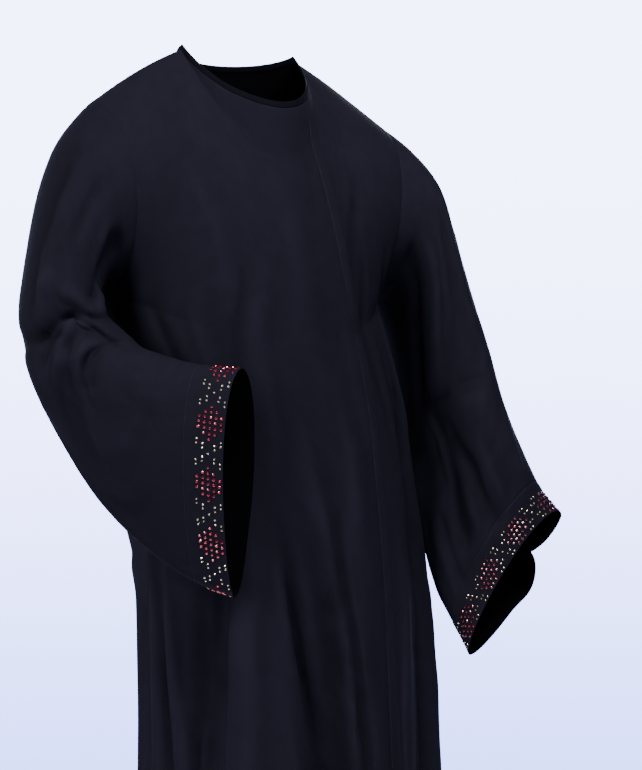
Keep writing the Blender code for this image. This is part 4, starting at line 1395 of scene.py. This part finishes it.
@dataclass
class BodyPanels:
    """The two fronts, the front band and the back."""

    form: BodyForm
    lap_width: float = 7.5
    band_width: float = 1.5
    lap_ramp: float = 0.12
    lap_rise: float = 0.28
    probe: float = 0.01
    pitch: float = 0.5
    upper_drop: float = 5.2
    top_rows: tuple[float, ...] = (0.02, 0.06)
    hem_rows: tuple[float, ...] = (-0.25, -0.08, 0.0, 0.08, 0.25)
    edge_row: float = 0.12
    seam: Seam = Seam()
    pucker_seed: float = 0.4
    hem: Hem = Hem(3.0, 0.00035, 0.0004, 0.0011, 0.0003, 0.006, 3.1, 8.0)
    band: BandShape = BandShape()
    swells: tuple[Swell, ...] = (Swell(0.055, 9.0, 34.0, 1.0), Swell(0.022, 4.2, 15.0, 2.0))
    surfaces: dict[str, Surface] = field(default_factory=dict)

    def row_levels(self) -> Array:
        """Levels of the rows: even over the cloth, and closer at the seams and at the hem's stitches."""
        armpit, rows = self.form.armpit_level, self.form.levels
        levels = [np.linspace(0, armpit, int(armpit * self.upper_drop / self.pitch) + 1)]
        for start in range(armpit, len(rows) - 1):
            count = int(round((rows[start].front_z - rows[start + 1].front_z) / self.pitch))
            levels.append(np.linspace(start, start + 1, count + 1)[1:])
        bottom = rows[-1].front_z
        close = [bottom + self.hem.depth + step for step in self.hem_rows] + [bottom + self.edge_row]
        levels.append(np.array([self.form.level_at(z) for z in close] + list(self.top_rows)))
        return np.unique(np.round(np.concatenate(levels), 5))

    def front_stops(self, levels: Array) -> list[Array]:
        """Where the lap's lines cross each row: the hidden edge, the band's seam and the edge."""
        edge = self.form.column("edge", levels)
        return [self.form.across_at(edge - away, levels) for away in (self.lap_width, self.band_width, 0.0)]

    def panels(self, levels: Array) -> tuple[Panel, ...]:
        """Lay out the four pieces over the rows."""
        hidden, seam, edge = self.front_stops(levels)
        one = np.ones_like(levels)
        neck = self.form.neck_share * one
        shoulder = edge + (1.0 - edge) * (neck - edge[0]) / (1.0 - edge[0])
        both, first, last = (True, True), (True, False), (False, True)
        return (
            Panel("front_right", Face.FRONT, (-one, -neck, hidden, seam), (48, 20, 13), both, both, True),
            Panel("front_band", Face.FRONT, (seam, edge), (6,), first, both, True),
            Panel("front_left", Face.FRONT, (hidden, edge, shoulder, one), (16, 12, 48), last, last),
            Panel("back", Face.BACK, (one, neck, -neck, -one), (46, 44, 46), both, both),
        )

    def raised(self, face: Face, across: Array, level: Array, lifted: bool) -> Array:
        """Points of a piece in centimetres, with the lap lifted over what it covers."""
        point = self.form.point(face, across, level)
        if not lifted:
            return point
        last = len(self.form.levels) - 1
        under = self.front_stops(level[:, 0])[0][:, None]
        left, right = (self.form.point(face, across + step, level) for step in (self.probe, -self.probe))
        lower = self.form.point(face, across, np.minimum(level + self.probe, last))
        upper = self.form.point(face, across, np.maximum(level - self.probe, 0.0))
        lift = self.lap_rise * ease((across - under) / self.lap_ramp + 1.0)
        return point + unit(np.cross(lower - upper, left - right)) * lift[..., None]

    def relief(self, panel: Panel, across: Array, points: Array) -> tuple[Array, Array]:
        """Fine creases, swells, seam grooves and the hem's step.

        Args:
            panel: The piece.
            across: Places across, by row and column.
            points: The points there, in metres.

        Returns:
            Heights in metres, and how near each point is to a ridge, by row and column, which the finish paints
            as light on ridges and shade in fold bottoms.
        """
        place = across if panel.face is Face.FRONT else 2.0 - across
        girth = self.form.quarter_girth
        s, z = place * girth, points[..., 2] / CM
        fine = crease_relief(BODY_LINES, place, z, (girth, 1.0), (4.0, NO_REPEAT))
        for swell in self.swells:
            fine = fine + swell.at(s, z)
        across_run, down_run = run_lengths(points, 1), run_lengths(points, 0)
        edges = [(across_run, z)] if panel.sewn[0] else []
        if panel.sewn[1]:
            edges.append((across_run[:, -1:] - across_run, z))
        edges.append((down_run, s))
        kept, grooves = 1.0, 0.0
        for index, (away, along) in enumerate(edges):
            kept = kept * self.seam.kept(away)
            grooves = grooves + self.seam.relief(away, along, index + self.pucker_seed)
        relief = fine * CM * kept + grooves + self.hem.relief(down_run[-1:] - down_run, s)
        if panel.node == "front_band":
            relief = relief + self.band.relief(points)
        return relief, ridge_share(self.form.fold_height(place, z), fine)

    def build(self, material: bpy.types.Material) -> None:
        """Build and dress the four pieces."""
        levels = self.row_levels()
        for panel in self.panels(levels):
            across = panel.across()
            level = np.repeat(levels[:, None], across.shape[1], axis=1)
            points = self.raised(panel.face, across, level, panel.lifted) * CM
            sheet = ClothSheet("cloth_" + panel.node, panel.node)
            piece, self.surfaces[panel.node] = sheet.wall(points, *self.relief(panel, across, points))
            sheet.declare(piece, material)


@dataclass
class Sleeve:
    """A wide straight sleeve with a deep turned cuff hem."""

    form: SleeveForm
    lines: tuple[Line, ...]
    around_count: int = 204
    along_count: int = 160
    search_rows: int = 500
    even_zone: float = 6.0
    even_pitch: float = 0.4
    edge_rows: tuple[float, ...] = (0.0, 0.08, 0.2)
    hem_rows: tuple[float, ...] = (-0.3, -0.12, -0.05, 0.0, 0.05, 0.12, 0.3)
    seam: Seam = Seam(pucker_wave=2.8)
    pucker_seed: float = 0.7
    hem: Hem = Hem(4.8, 0.0004, 0.0006, 0.0012, 0.0004, 0.007, 3.3, 5.0)
    swell_height: float = 0.045
    swell_wave: float = 8.0
    swell_tall: float = 9.0
    swell_seed: float = 3.0
    swell_turn: tuple[float, float] = (6.0, 4.0)
    swell_slant: float = 0.3
    ripple: float = 0.018
    ripple_wave: float = 3.6
    ripple_turns: int = 3
    ripple_slant: float = 0.4

    def distances(self) -> Array:
        """Distances of the rows near the cuff from its edge, in centimetres."""
        even = np.arange(self.even_pitch, self.even_zone + 0.01, self.even_pitch)
        close = self.hem.depth + np.array(self.hem_rows)
        return np.unique(np.round(np.concatenate([self.edge_rows, even, close]), 3))

    def grid(self) -> tuple[Array, Array, Array]:
        """Places of the grid: rings and angles, with the rows near the cuff parallel to its edge.

        Returns:
            The rings and the angles by row and column, and each row's distance from the edge where it is even.
        """
        around = np.linspace(0.0, 360.0, self.around_count + 1)
        if self.form.side is Side.LEFT:
            around = around[::-1]
        dense = np.linspace(len(self.form.table) - 1, 0.0, self.search_rows)
        length = run_lengths(self.form.point(*np.broadcast_arrays(around[None, :], dense[:, None])))
        even = self.distances()
        rest = fine_ends(self.along_count, False, True)[1:]
        rings = []
        for column in length.T:
            wanted = np.concatenate([even, even[-1] + (column[-1] - even[-1]) * rest])
            rings.append(np.interp(wanted, column, dense))
        place = np.array(rings).T[::-1]
        return place, np.repeat(around[None, :], place.shape[0], axis=0), even

    def swells(self, angle: Array, along: Array) -> Array:
        """Low swells and ripples that meet where the sleeve closes.

        Args:
            angle: Angles round the sleeve, in radians.
            along: Distances along it, in centimetres.

        Returns:
            Heights in centimetres.
        """
        low = Swell(self.swell_height, self.swell_wave, self.swell_tall, self.swell_seed + self.form.side.value)
        over, under = self.swell_turn
        heights = low.at(along + over * np.sin(angle), under * np.cos(angle) + self.swell_slant * along)
        turns = self.ripple_turns * angle + self.ripple_slant * along
        return heights + self.ripple * (waver(along, self.ripple_wave, 2.0) * np.sin(turns))

    def build(self, material: bpy.types.Material) -> None:
        """Build and dress the sleeve."""
        place, angles, self.even = self.grid()
        points = self.form.point(angles, place) * CM
        scale = (self.form.ring_step, self.form.around_step)
        fine = crease_relief(self.lines, place, angles, scale, (NO_REPEAT, 360.0))
        fine = fine + self.swells(np.radians(angles), place * scale[0])
        s, down = angles * scale[1], run_lengths(points)
        relief = fine * CM * self.seam.kept(down) + self.seam.relief(down, s, self.pucker_seed)
        relief = relief + self.hem.relief(down[-1:] - down, s)
        side = self.form.side.label
        sheet = ClothSheet("cloth_sleeve_" + side, "sleeve_" + side, closed=True)
        # The crease heights also paint the cloth, ridges lighter and troughs darker, as painted light and shade.
        swell = ridge_share(self.form.crease_height(place, angles), fine)
        piece, self.surface = sheet.wall(points, relief, swell)
        sheet.declare(piece, material)

    def row_at(self, distance: Array) -> Array:
        """Fractional rows that lie at distances from the cuff's edge, in centimetres."""
        last = self.surface.points.shape[0] - 1
        return last - np.interp(distance, self.even, np.arange(len(self.even)))


@dataclass
class NeckBinding:
    """A folded bias strip that finishes the neckline, in metres."""

    body: BodyPanels
    height: float = 0.0086
    lean: float = 0.35
    half_thickness: float = 0.0009
    off_cloth: float = 0.0010
    overlap: float = 0.0014
    counts: tuple[int, int, int] = (44, 90, 62)
    corners: int = 20
    corner_step: float = 0.0009
    side_power: float = 0.6
    edge_power: float = 0.75
    rolls: tuple[tuple[float, float, float], ...] = ((0.10, 2.4, 1.0), (0.06, 0.9, 3.0))
    sharp_angle: float = 60.0

    def neckline(self) -> Array:
        """Points of the neckline, from the left front's hidden edge round the back to the band's edge."""
        form = self.body.form
        hidden, _, edge = (float(stop[0]) for stop in self.body.front_stops(np.zeros(1)))
        ends = (hidden, form.neck_share, -form.neck_share, edge)
        left, back, right = (
            np.linspace(start, end, count)[None, :] for start, end, count in zip(ends, ends[1:], self.counts)
        )
        front_left = form.point(Face.FRONT, left, 0.0 * left)[0]
        behind = form.point(Face.BACK, back, 0.0 * back)[0, 1:]
        front_right = self.body.raised(Face.FRONT, right, 0.0 * right, True)[0, 1:]
        return np.concatenate([front_left, behind, front_right]) * CM

    def rings(self, line: Array, run: Array) -> Array:
        """Corners of a flattened roll that stands on the neckline, by ring.

        Args:
            line: Points of the neckline.
            run: Distances along it.

        Returns:
            The corners.
        """
        inward = unit(stacked(-line[:, 0], self.body.form.seam_y * CM - line[:, 1], 0.0 * line[:, 0]))
        stand = unit(inward * self.lean + np.array([0.0, 0.0, 1.0]))
        outward = unit(np.cross(stand, unit(np.gradient(line, axis=0))))
        outward = outward * np.sign((outward * -inward).sum(axis=1, keepdims=True))
        roll = 1.0 + sum(height * waver(run / CM, wave, seed) for height, wave, seed in self.rolls)
        turn = np.linspace(0.0, 2 * math.pi, self.corners + 1)[:-1]
        across, up = np.cos(turn), np.sin(turn)
        thick = self.half_thickness * np.copysign(np.abs(across) ** self.side_power, across)
        tall = 0.5 * self.height * (1.0 + np.copysign(np.abs(up) ** self.edge_power, up))
        out = roll[:, None, None] * thick[:, None] + self.off_cloth
        return line[:, None] + outward[:, None] * out + stand[:, None] * (tall - self.overlap)[:, None]

    def build(self, material: bpy.types.Material) -> None:
        """Build and dress the strip."""
        line = self.neckline()
        run = run_lengths(line)
        rings = self.rings(line, run)
        rows, columns = rings.shape[:2]
        r, c = np.meshgrid(np.arange(rows - 1) * columns, np.arange(columns), indexing="ij")
        following = (c + 1) % columns
        walls = np.stack([r + c, r + following, r + columns + following, r + columns + c], axis=-1)
        caps = [list(range(columns))[::-1], [(rows - 1) * columns + corner for corner in range(columns)]]
        mesh = bpy.data.meshes.new("cloth_neck_binding")
        mesh.from_pydata(rings.reshape(-1, 3), [], walls.reshape(-1, 4).tolist() + caps)
        piece = placed(mesh.name, mesh)
        tool = bmesh.new()
        tool.from_mesh(mesh)
        bmesh.ops.recalc_face_normals(tool, faces=tool.faces[:])
        tool.to_mesh(mesh)
        tool.free()
        corner = np.empty(len(mesh.loops), dtype=np.int32)
        mesh.loops.foreach_get("vertex_index", corner)
        uv = np.stack([run[corner // columns], self.corner_step * (corner % columns)], axis=-1)
        mesh.uv_layers.new(name=CLOTH_UV).data.foreach_set("uv", uv.reshape(-1))
        mesh.shade_smooth()
        mesh.set_sharp_from_angle(angle=math.radians(self.sharp_angle))
        mesh.materials.append(material)
        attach(piece, "root")
        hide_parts("neck_binding")
        LOG.info("cloth_neck_binding: %.2f m of folded strip", run[-1])


# ---------------------------------------------------------------- trim


@dataclass
class Stitching:
    """Rows of machine stitches, each a short thread that dips into the cloth at both ends, in metres."""

    length: float = 0.0030
    gap: float = 0.0009
    radius: float = 0.00022
    sides: int = 6
    end_reach: float = 0.12
    end_dip: float = 0.9
    end_size: float = 0.7
    look_ahead: float = 0.001

    def model(self) -> bpy.types.Mesh:
        """Model one stitch along X, lying on the cloth."""
        dip, size = -self.end_dip * self.radius, (1.0, self.end_size, self.end_size)
        ends = tuple(
            ((end, 0.0, 0.0), (((self.end_reach * end * self.length, 0.0, dip), size),)) for end in (-1.0, 1.0)
        )
        return extruded_cylinder(self.sides, self.radius, self.length,
                                 {"rotation": (0.0, math.pi / 2, 0.0)}, ends)

    def sew(self, name: str, line: Array, normals: Array, model: bpy.types.Mesh,
            material: bpy.types.Material) -> None:
        """Sew a row along a line of points on the cloth.

        Args:
            name: The row's name.
            line: Points on the cloth.
            normals: The cloth's normals there.
            model: One stitch.
            material: The thread's finish.
        """
        run = run_lengths(line)
        count = int(run[-1] / (self.length + self.gap))
        middles = (np.arange(count) + 0.5) * run[-1] / count
        places, up = read_line(middles, run, line), unit(read_line(middles, run, normals))
        along = read_line(middles + self.look_ahead, run, line) - places
        along[-1] = along[-2]
        along = unit(along - up * (along * up).sum(axis=1, keepdims=True))
        axes = np.stack([along, np.cross(up, along), up], axis=1)
        piece = joined_copies(name, model, places, axes, np.ones(count), np.zeros(count))
        piece.data.shade_smooth()
        piece.data.materials.append(material)
        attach(piece, "root")
        LOG.info("%s: %d stitches", name, count)


@dataclass(frozen=True)
class CutStone:
    """A flat-backed stone of unit width: an eight-sided girdle, two rows of facets and a table."""

    sides: int = 8
    girdle: float = 0.14
    girdle_z: float = 0.03
    crown: tuple[tuple[float, float], ...] = ((0.15, 0.76), (0.09, 0.62))

    def model(self) -> bpy.types.Mesh:
        """Model the stone, with each row of facets as a rise and the share of the width that is left."""
        steps = tuple(((0.0, 0.0, rise), (narrow, narrow, 1.0)) for rise, narrow in self.crown)
        place = {"location": (0.0, 0.0, self.girdle_z)}
        return extruded_cylinder(self.sides, 0.5, self.girdle, place, (((0.0, 0.0, 1.0), steps),))


@dataclass
class CrystalBand:
    """The crystal band of a cuff: red medallions and gold crosses in turn, charted stone by stone.

    Sizes are in metres, but for the centre's distance from the cuff's edge, in centimetres.
    """

    sleeve: Sleeve
    medallion_z: float
    repeat: float = 0.075
    centre: float = 1.8
    pitch: float = 0.0067
    red_size: float = 0.0040
    gold_size: float = 0.0025
    medallion: tuple[int, ...] = (1, 3, 5, 5, 5, 3, 1)
    pairs: tuple[tuple[float, float], ...] = ((0.0080, 0.0073), (0.0130, 0.0145))
    pair_gap: float = 0.0052
    # Painted brightness of the whole band: 1.0 for a cuff in full light, lower to paint the stones of a cuff
    # turned away from the light darker, as painted shade.
    painted_brightness: float = 1.0
    tone_power: float = 0.7
    misplaced: float = 0.00018
    tilted: float = 0.05
    size_change: float = 0.02
    near_slant: float = 0.6
    line_steps: int = 4

    def chart(self, stone: Stone) -> Array:
        """Places of one repeat's stones of a colour, along the band and across it."""
        if stone is Stone.RED:
            half = len(self.medallion) // 2
            return np.array([
                ((step - half) * self.pitch, (index - (count - 1) / 2) * self.pitch)
                for step, count in enumerate(self.medallion) for index in range(count)
            ])
        middle = 0.5 * self.repeat
        return np.array([(middle, 0.0)] + [
            (middle + x + side * self.pair_gap, y)
            for along, across in self.pairs
            for x in (-along, along) for y in (-across, across) for side in (-0.5, 0.5)
        ])

    def place(self, stone: Stone, rng: np.random.Generator) -> tuple[Array, Array]:
        """Put a colour's stones on the cuff.

        Args:
            stone: The colour.
            rng: A seeded source of small differences.

        Returns:
            The stones' places and their axes.
        """
        surface = self.sleeve.surface
        last = surface.points.shape[1] - 1
        columns = np.linspace(0.0, last, self.line_steps * last + 1)
        line, _, _ = surface.at(self.sleeve.row_at(np.full_like(columns, self.centre)), columns)
        run = run_lengths(line)
        count = int(round(run[-1] / self.repeat))
        depth = line[:, 1] + self.near_slant * line[:, 0]
        off = np.abs(line[:, 2] - self.medallion_z) + np.where(depth < np.median(depth), 0.0, 1.0)
        chart = self.chart(stone)
        repeats = np.arange(count)[:, None] + chart[None, :, 0] / self.repeat
        along = (run[np.argmin(off)] + run[-1] / count * repeats).reshape(-1)
        across = np.tile(chart[:, 1], count)
        along = along + rng.normal(0.0, self.misplaced, along.shape)
        across = across + rng.normal(0.0, self.misplaced, across.shape)
        column = np.interp(along % run[-1], run, columns)
        places, normals, ahead = surface.at(self.sleeve.row_at(self.centre + across / CM), column)
        normals = unit(normals + rng.normal(0.0, self.tilted, normals.shape))
        ahead = unit(ahead - normals * (ahead * normals).sum(axis=1, keepdims=True))
        spin = rng.uniform(0.0, math.pi / 4, len(places))[:, None]
        turned = ahead * np.cos(spin) + np.cross(normals, ahead) * np.sin(spin)
        return places, np.stack([turned, np.cross(normals, turned), normals], axis=1)

    def build(self, model: bpy.types.Mesh, materials: dict[Stone, bpy.types.Material], seed: int) -> None:
        """Set the stones of both colours.

        Args:
            model: One cut stone of unit width.
            materials: The finish of each colour.
            seed: Seed of the small differences.
        """
        rng = np.random.default_rng(seed)
        for stone, size in ((Stone.RED, self.red_size), (Stone.GOLD, self.gold_size)):
            places, axes = self.place(stone, rng)
            sizes = size * rng.normal(1.0, self.size_change, len(places))
            # Each stone's tone differs at random, lowered by the band's painted brightness as painted shade.
            tones = self.painted_brightness - rng.uniform(0.0, 1.0, len(places)) ** self.tone_power
            name = f"crystals_{stone.value}_{self.sleeve.form.side.label}"
            piece = joined_copies(name, model, places, axes, sizes, tones)
            piece.data.materials.append(materials[stone])
            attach(piece, "root")
            LOG.info("%s: %d stones", piece.name, len(places))


# ---------------------------------------------------------------- studio


@dataclass(frozen=True)
class SoftLight:
    """A soft rectangular light, in metres and watts."""

    name: str
    place: Point
    aim: Point
    width: float
    height: float
    power: float

    def hang(self) -> None:
        """Hang the light and turn it to where it aims."""
        data = bpy.data.lights.new(self.name, "AREA")
        data.shape, data.size, data.size_y, data.energy = "RECTANGLE", self.width, self.height, self.power
        lamp = placed(self.name, data)
        lamp.location = self.place
        lamp.rotation_euler = (Vector(self.aim) - Vector(self.place)).to_track_quat("-Z", "Y").to_euler()


@dataclass
class Studio:
    """A pale floor, soft lights and the camera."""

    camera_place: Point = (-1.184, -2.090, -0.429)
    azimuth: float = -32.0
    focal_pixels: float = 1846.0
    long_side: int = 770
    sensor: float = 36.0
    floor_place: Point = (0.05, 0.0, -1.442)
    floor_radius: float = 2.4
    floor_sides: int = 96
    floor_colour: Colour = (0.78, 0.78, 0.84, 1.0)
    floor_cloud: float = 6.0
    floor_roughness: tuple[float, float] = (0.75, 0.9)
    backdrop_high: Colour = (0.84, 0.92, 1.50, 1.0)
    backdrop_low: Colour = (0.23, 0.29, 0.86, 1.0)
    backdrop_heights: tuple[float, float] = (-0.26, 0.16)
    backdrop_turns: tuple[float, float] = (0.72, 0.95)
    backdrop_strengths: tuple[float, float] = (0.22, 6.8)
    lights: tuple[SoftLight, ...] = (
        SoftLight("key", (-2.4, -0.9, 0.3), (0.0, -0.05, -0.7), 0.6, 1.6, 123.0),
        SoftLight("top", (0.1, -1.3, 1.4), (0.0, -0.1, -0.5), 0.8, 0.8, 150.0),
        SoftLight("edge", (1.7, 1.6, 0.3), (0.0, 0.0, -0.6), 1.0, 2.2, 60.0),
        SoftLight("rim", (-1.75, 1.75, 0.3), (-0.2, 0.0, -0.2), 0.8, 1.2, 42.0),
    )

    def build(self) -> None:
        """Set up the floor, the surroundings, the lights and the camera."""
        self.floor()
        self.surroundings()
        for light in self.lights:
            light.hang()
        self.camera()

    def floor(self) -> None:
        """Lay a pale round floor."""
        bpy.ops.object.select_all(action="DESELECT")
        bpy.ops.mesh.primitive_circle_add(vertices=self.floor_sides, radius=self.floor_radius, fill_type="NGON",
                                          location=self.floor_place)
        floor = bpy.context.object
        floor.name = "floor"
        bpy.ops.object.transform_apply(location=True, rotation=True, scale=True)
        material, bench, shader = new_material("pale_floor")
        cloud = bench.noise(bench.place(), self.floor_cloud)
        bench.fill(shader, {
            "Base Color": self.floor_colour,
            "Roughness": bench.ramp(cloud, *self.floor_roughness),
        })
        floor.data.materials.append(material)

    def surroundings(self) -> None:
        """Surround the garment with pale light that is strongest from behind it, as before a lit backdrop."""
        world = bpy.data.worlds.new("studio")
        world.use_nodes = True
        bench = NodeBench(world.node_tree)
        direction = bench.add("ShaderNodeTexCoord").outputs["Generated"]
        turn = math.radians(self.azimuth)
        ahead = (-math.sin(turn), math.cos(turn), 0.0)
        towards = bench.add("ShaderNodeVectorMath", {0: direction, 1: ahead}, operation="DOT_PRODUCT")
        behind = towards.outputs["Value"]
        height = bench.add("ShaderNodeSeparateXYZ", {"Vector": direction}).outputs["Z"]
        share = bench.ramp(height, 0.0, 1.0, *self.backdrop_heights, interpolation_type="SMOOTHSTEP")
        bench.fill(world.node_tree.nodes["Background"], {
            "Strength": bench.ramp(behind, *self.backdrop_strengths, *self.backdrop_turns,
                                   interpolation_type="SMOOTHSTEP"),
            "Color": bench.mix(share, self.backdrop_low, self.backdrop_high),
        })
        bpy.context.scene.world = world

    def camera(self) -> None:
        """Set the camera level, at the photograph's side of the front."""
        data = bpy.data.cameras.new("camera")
        data.sensor_width = self.sensor
        data.lens = self.focal_pixels * self.sensor / self.long_side
        camera = placed("camera", data)
        camera.location = self.camera_place
        camera.rotation_euler = (math.radians(90.0), 0.0, math.radians(self.azimuth))
        bpy.context.scene.camera = camera


def main() -> None:
    """Build the garment piece by piece, then the studio."""
    logging.basicConfig(level=logging.INFO, format="%(name)s: %(message)s")
    effects = crepe_grain(), cloth_drift()
    crepe = CrepeFinish("crepe").make(*effects)
    bias = CrepeFinish("bias_strip", (0.0018, 0.0018, 0.0028, 1.0), (0.0036, 0.0036, 0.0056, 1.0)).make(*effects)
    thread = ThreadFinish().make()
    crystals = {
        Stone.RED: CrystalFinish("crystal_red", (0.085, 0.0006, 0.006, 1.0), (0.32, 0.003, 0.026, 1.0)).make(),
        Stone.GOLD: CrystalFinish("crystal_gold", (0.24, 0.17, 0.09, 1.0), (0.80, 0.70, 0.52, 1.0)).make(),
    }

    body = BodyPanels(BodyForm())
    body.build(crepe)
    right = Sleeve(SleeveForm(Side.RIGHT, RIGHT_RINGS, RIGHT_CREASES, body.form), RIGHT_LINES)
    left = Sleeve(SleeveForm(Side.LEFT, LEFT_RINGS, LEFT_CREASES, body.form), LEFT_LINES)
    for sleeve in (right, left):
        sleeve.build(crepe)
    NeckBinding(body).build(bias)

    sewing = Stitching()
    stitch = sewing.model()
    for sleeve in (right, left):
        columns = np.linspace(0.0, sleeve.surface.points.shape[1] - 1, CUFF_LINE_POINTS)
        row = sleeve.row_at(np.full_like(columns, sleeve.hem.depth))
        line, normals, _ = sleeve.surface.at(row, columns)
        sewing.sew("stitches_cuff_" + sleeve.form.side.label, line, normals, stitch, thread)
    band = body.surfaces["front_band"]
    rows = np.linspace(0.0, band.points.shape[0] - 1, BAND_LINE_POINTS)
    line, normals, _ = band.at(rows, np.full_like(rows, BAND_STITCH_COLUMN))
    sewing.sew("stitches_front_band", line, normals, stitch, thread)

    stone = CutStone().model()
    CrystalBand(right, -0.545).build(stone, crystals, seed=11)
    # The left band's stones are painted darker, as painted shade for a cuff turned away from the light.
    CrystalBand(left, -0.672, repeat=0.067, painted_brightness=0.1).build(stone, crystals, seed=12)
    Studio().build()
    bpy.data.meshes.remove(stitch)
    bpy.data.meshes.remove(stone)


if __name__ == "__main__":
    main()
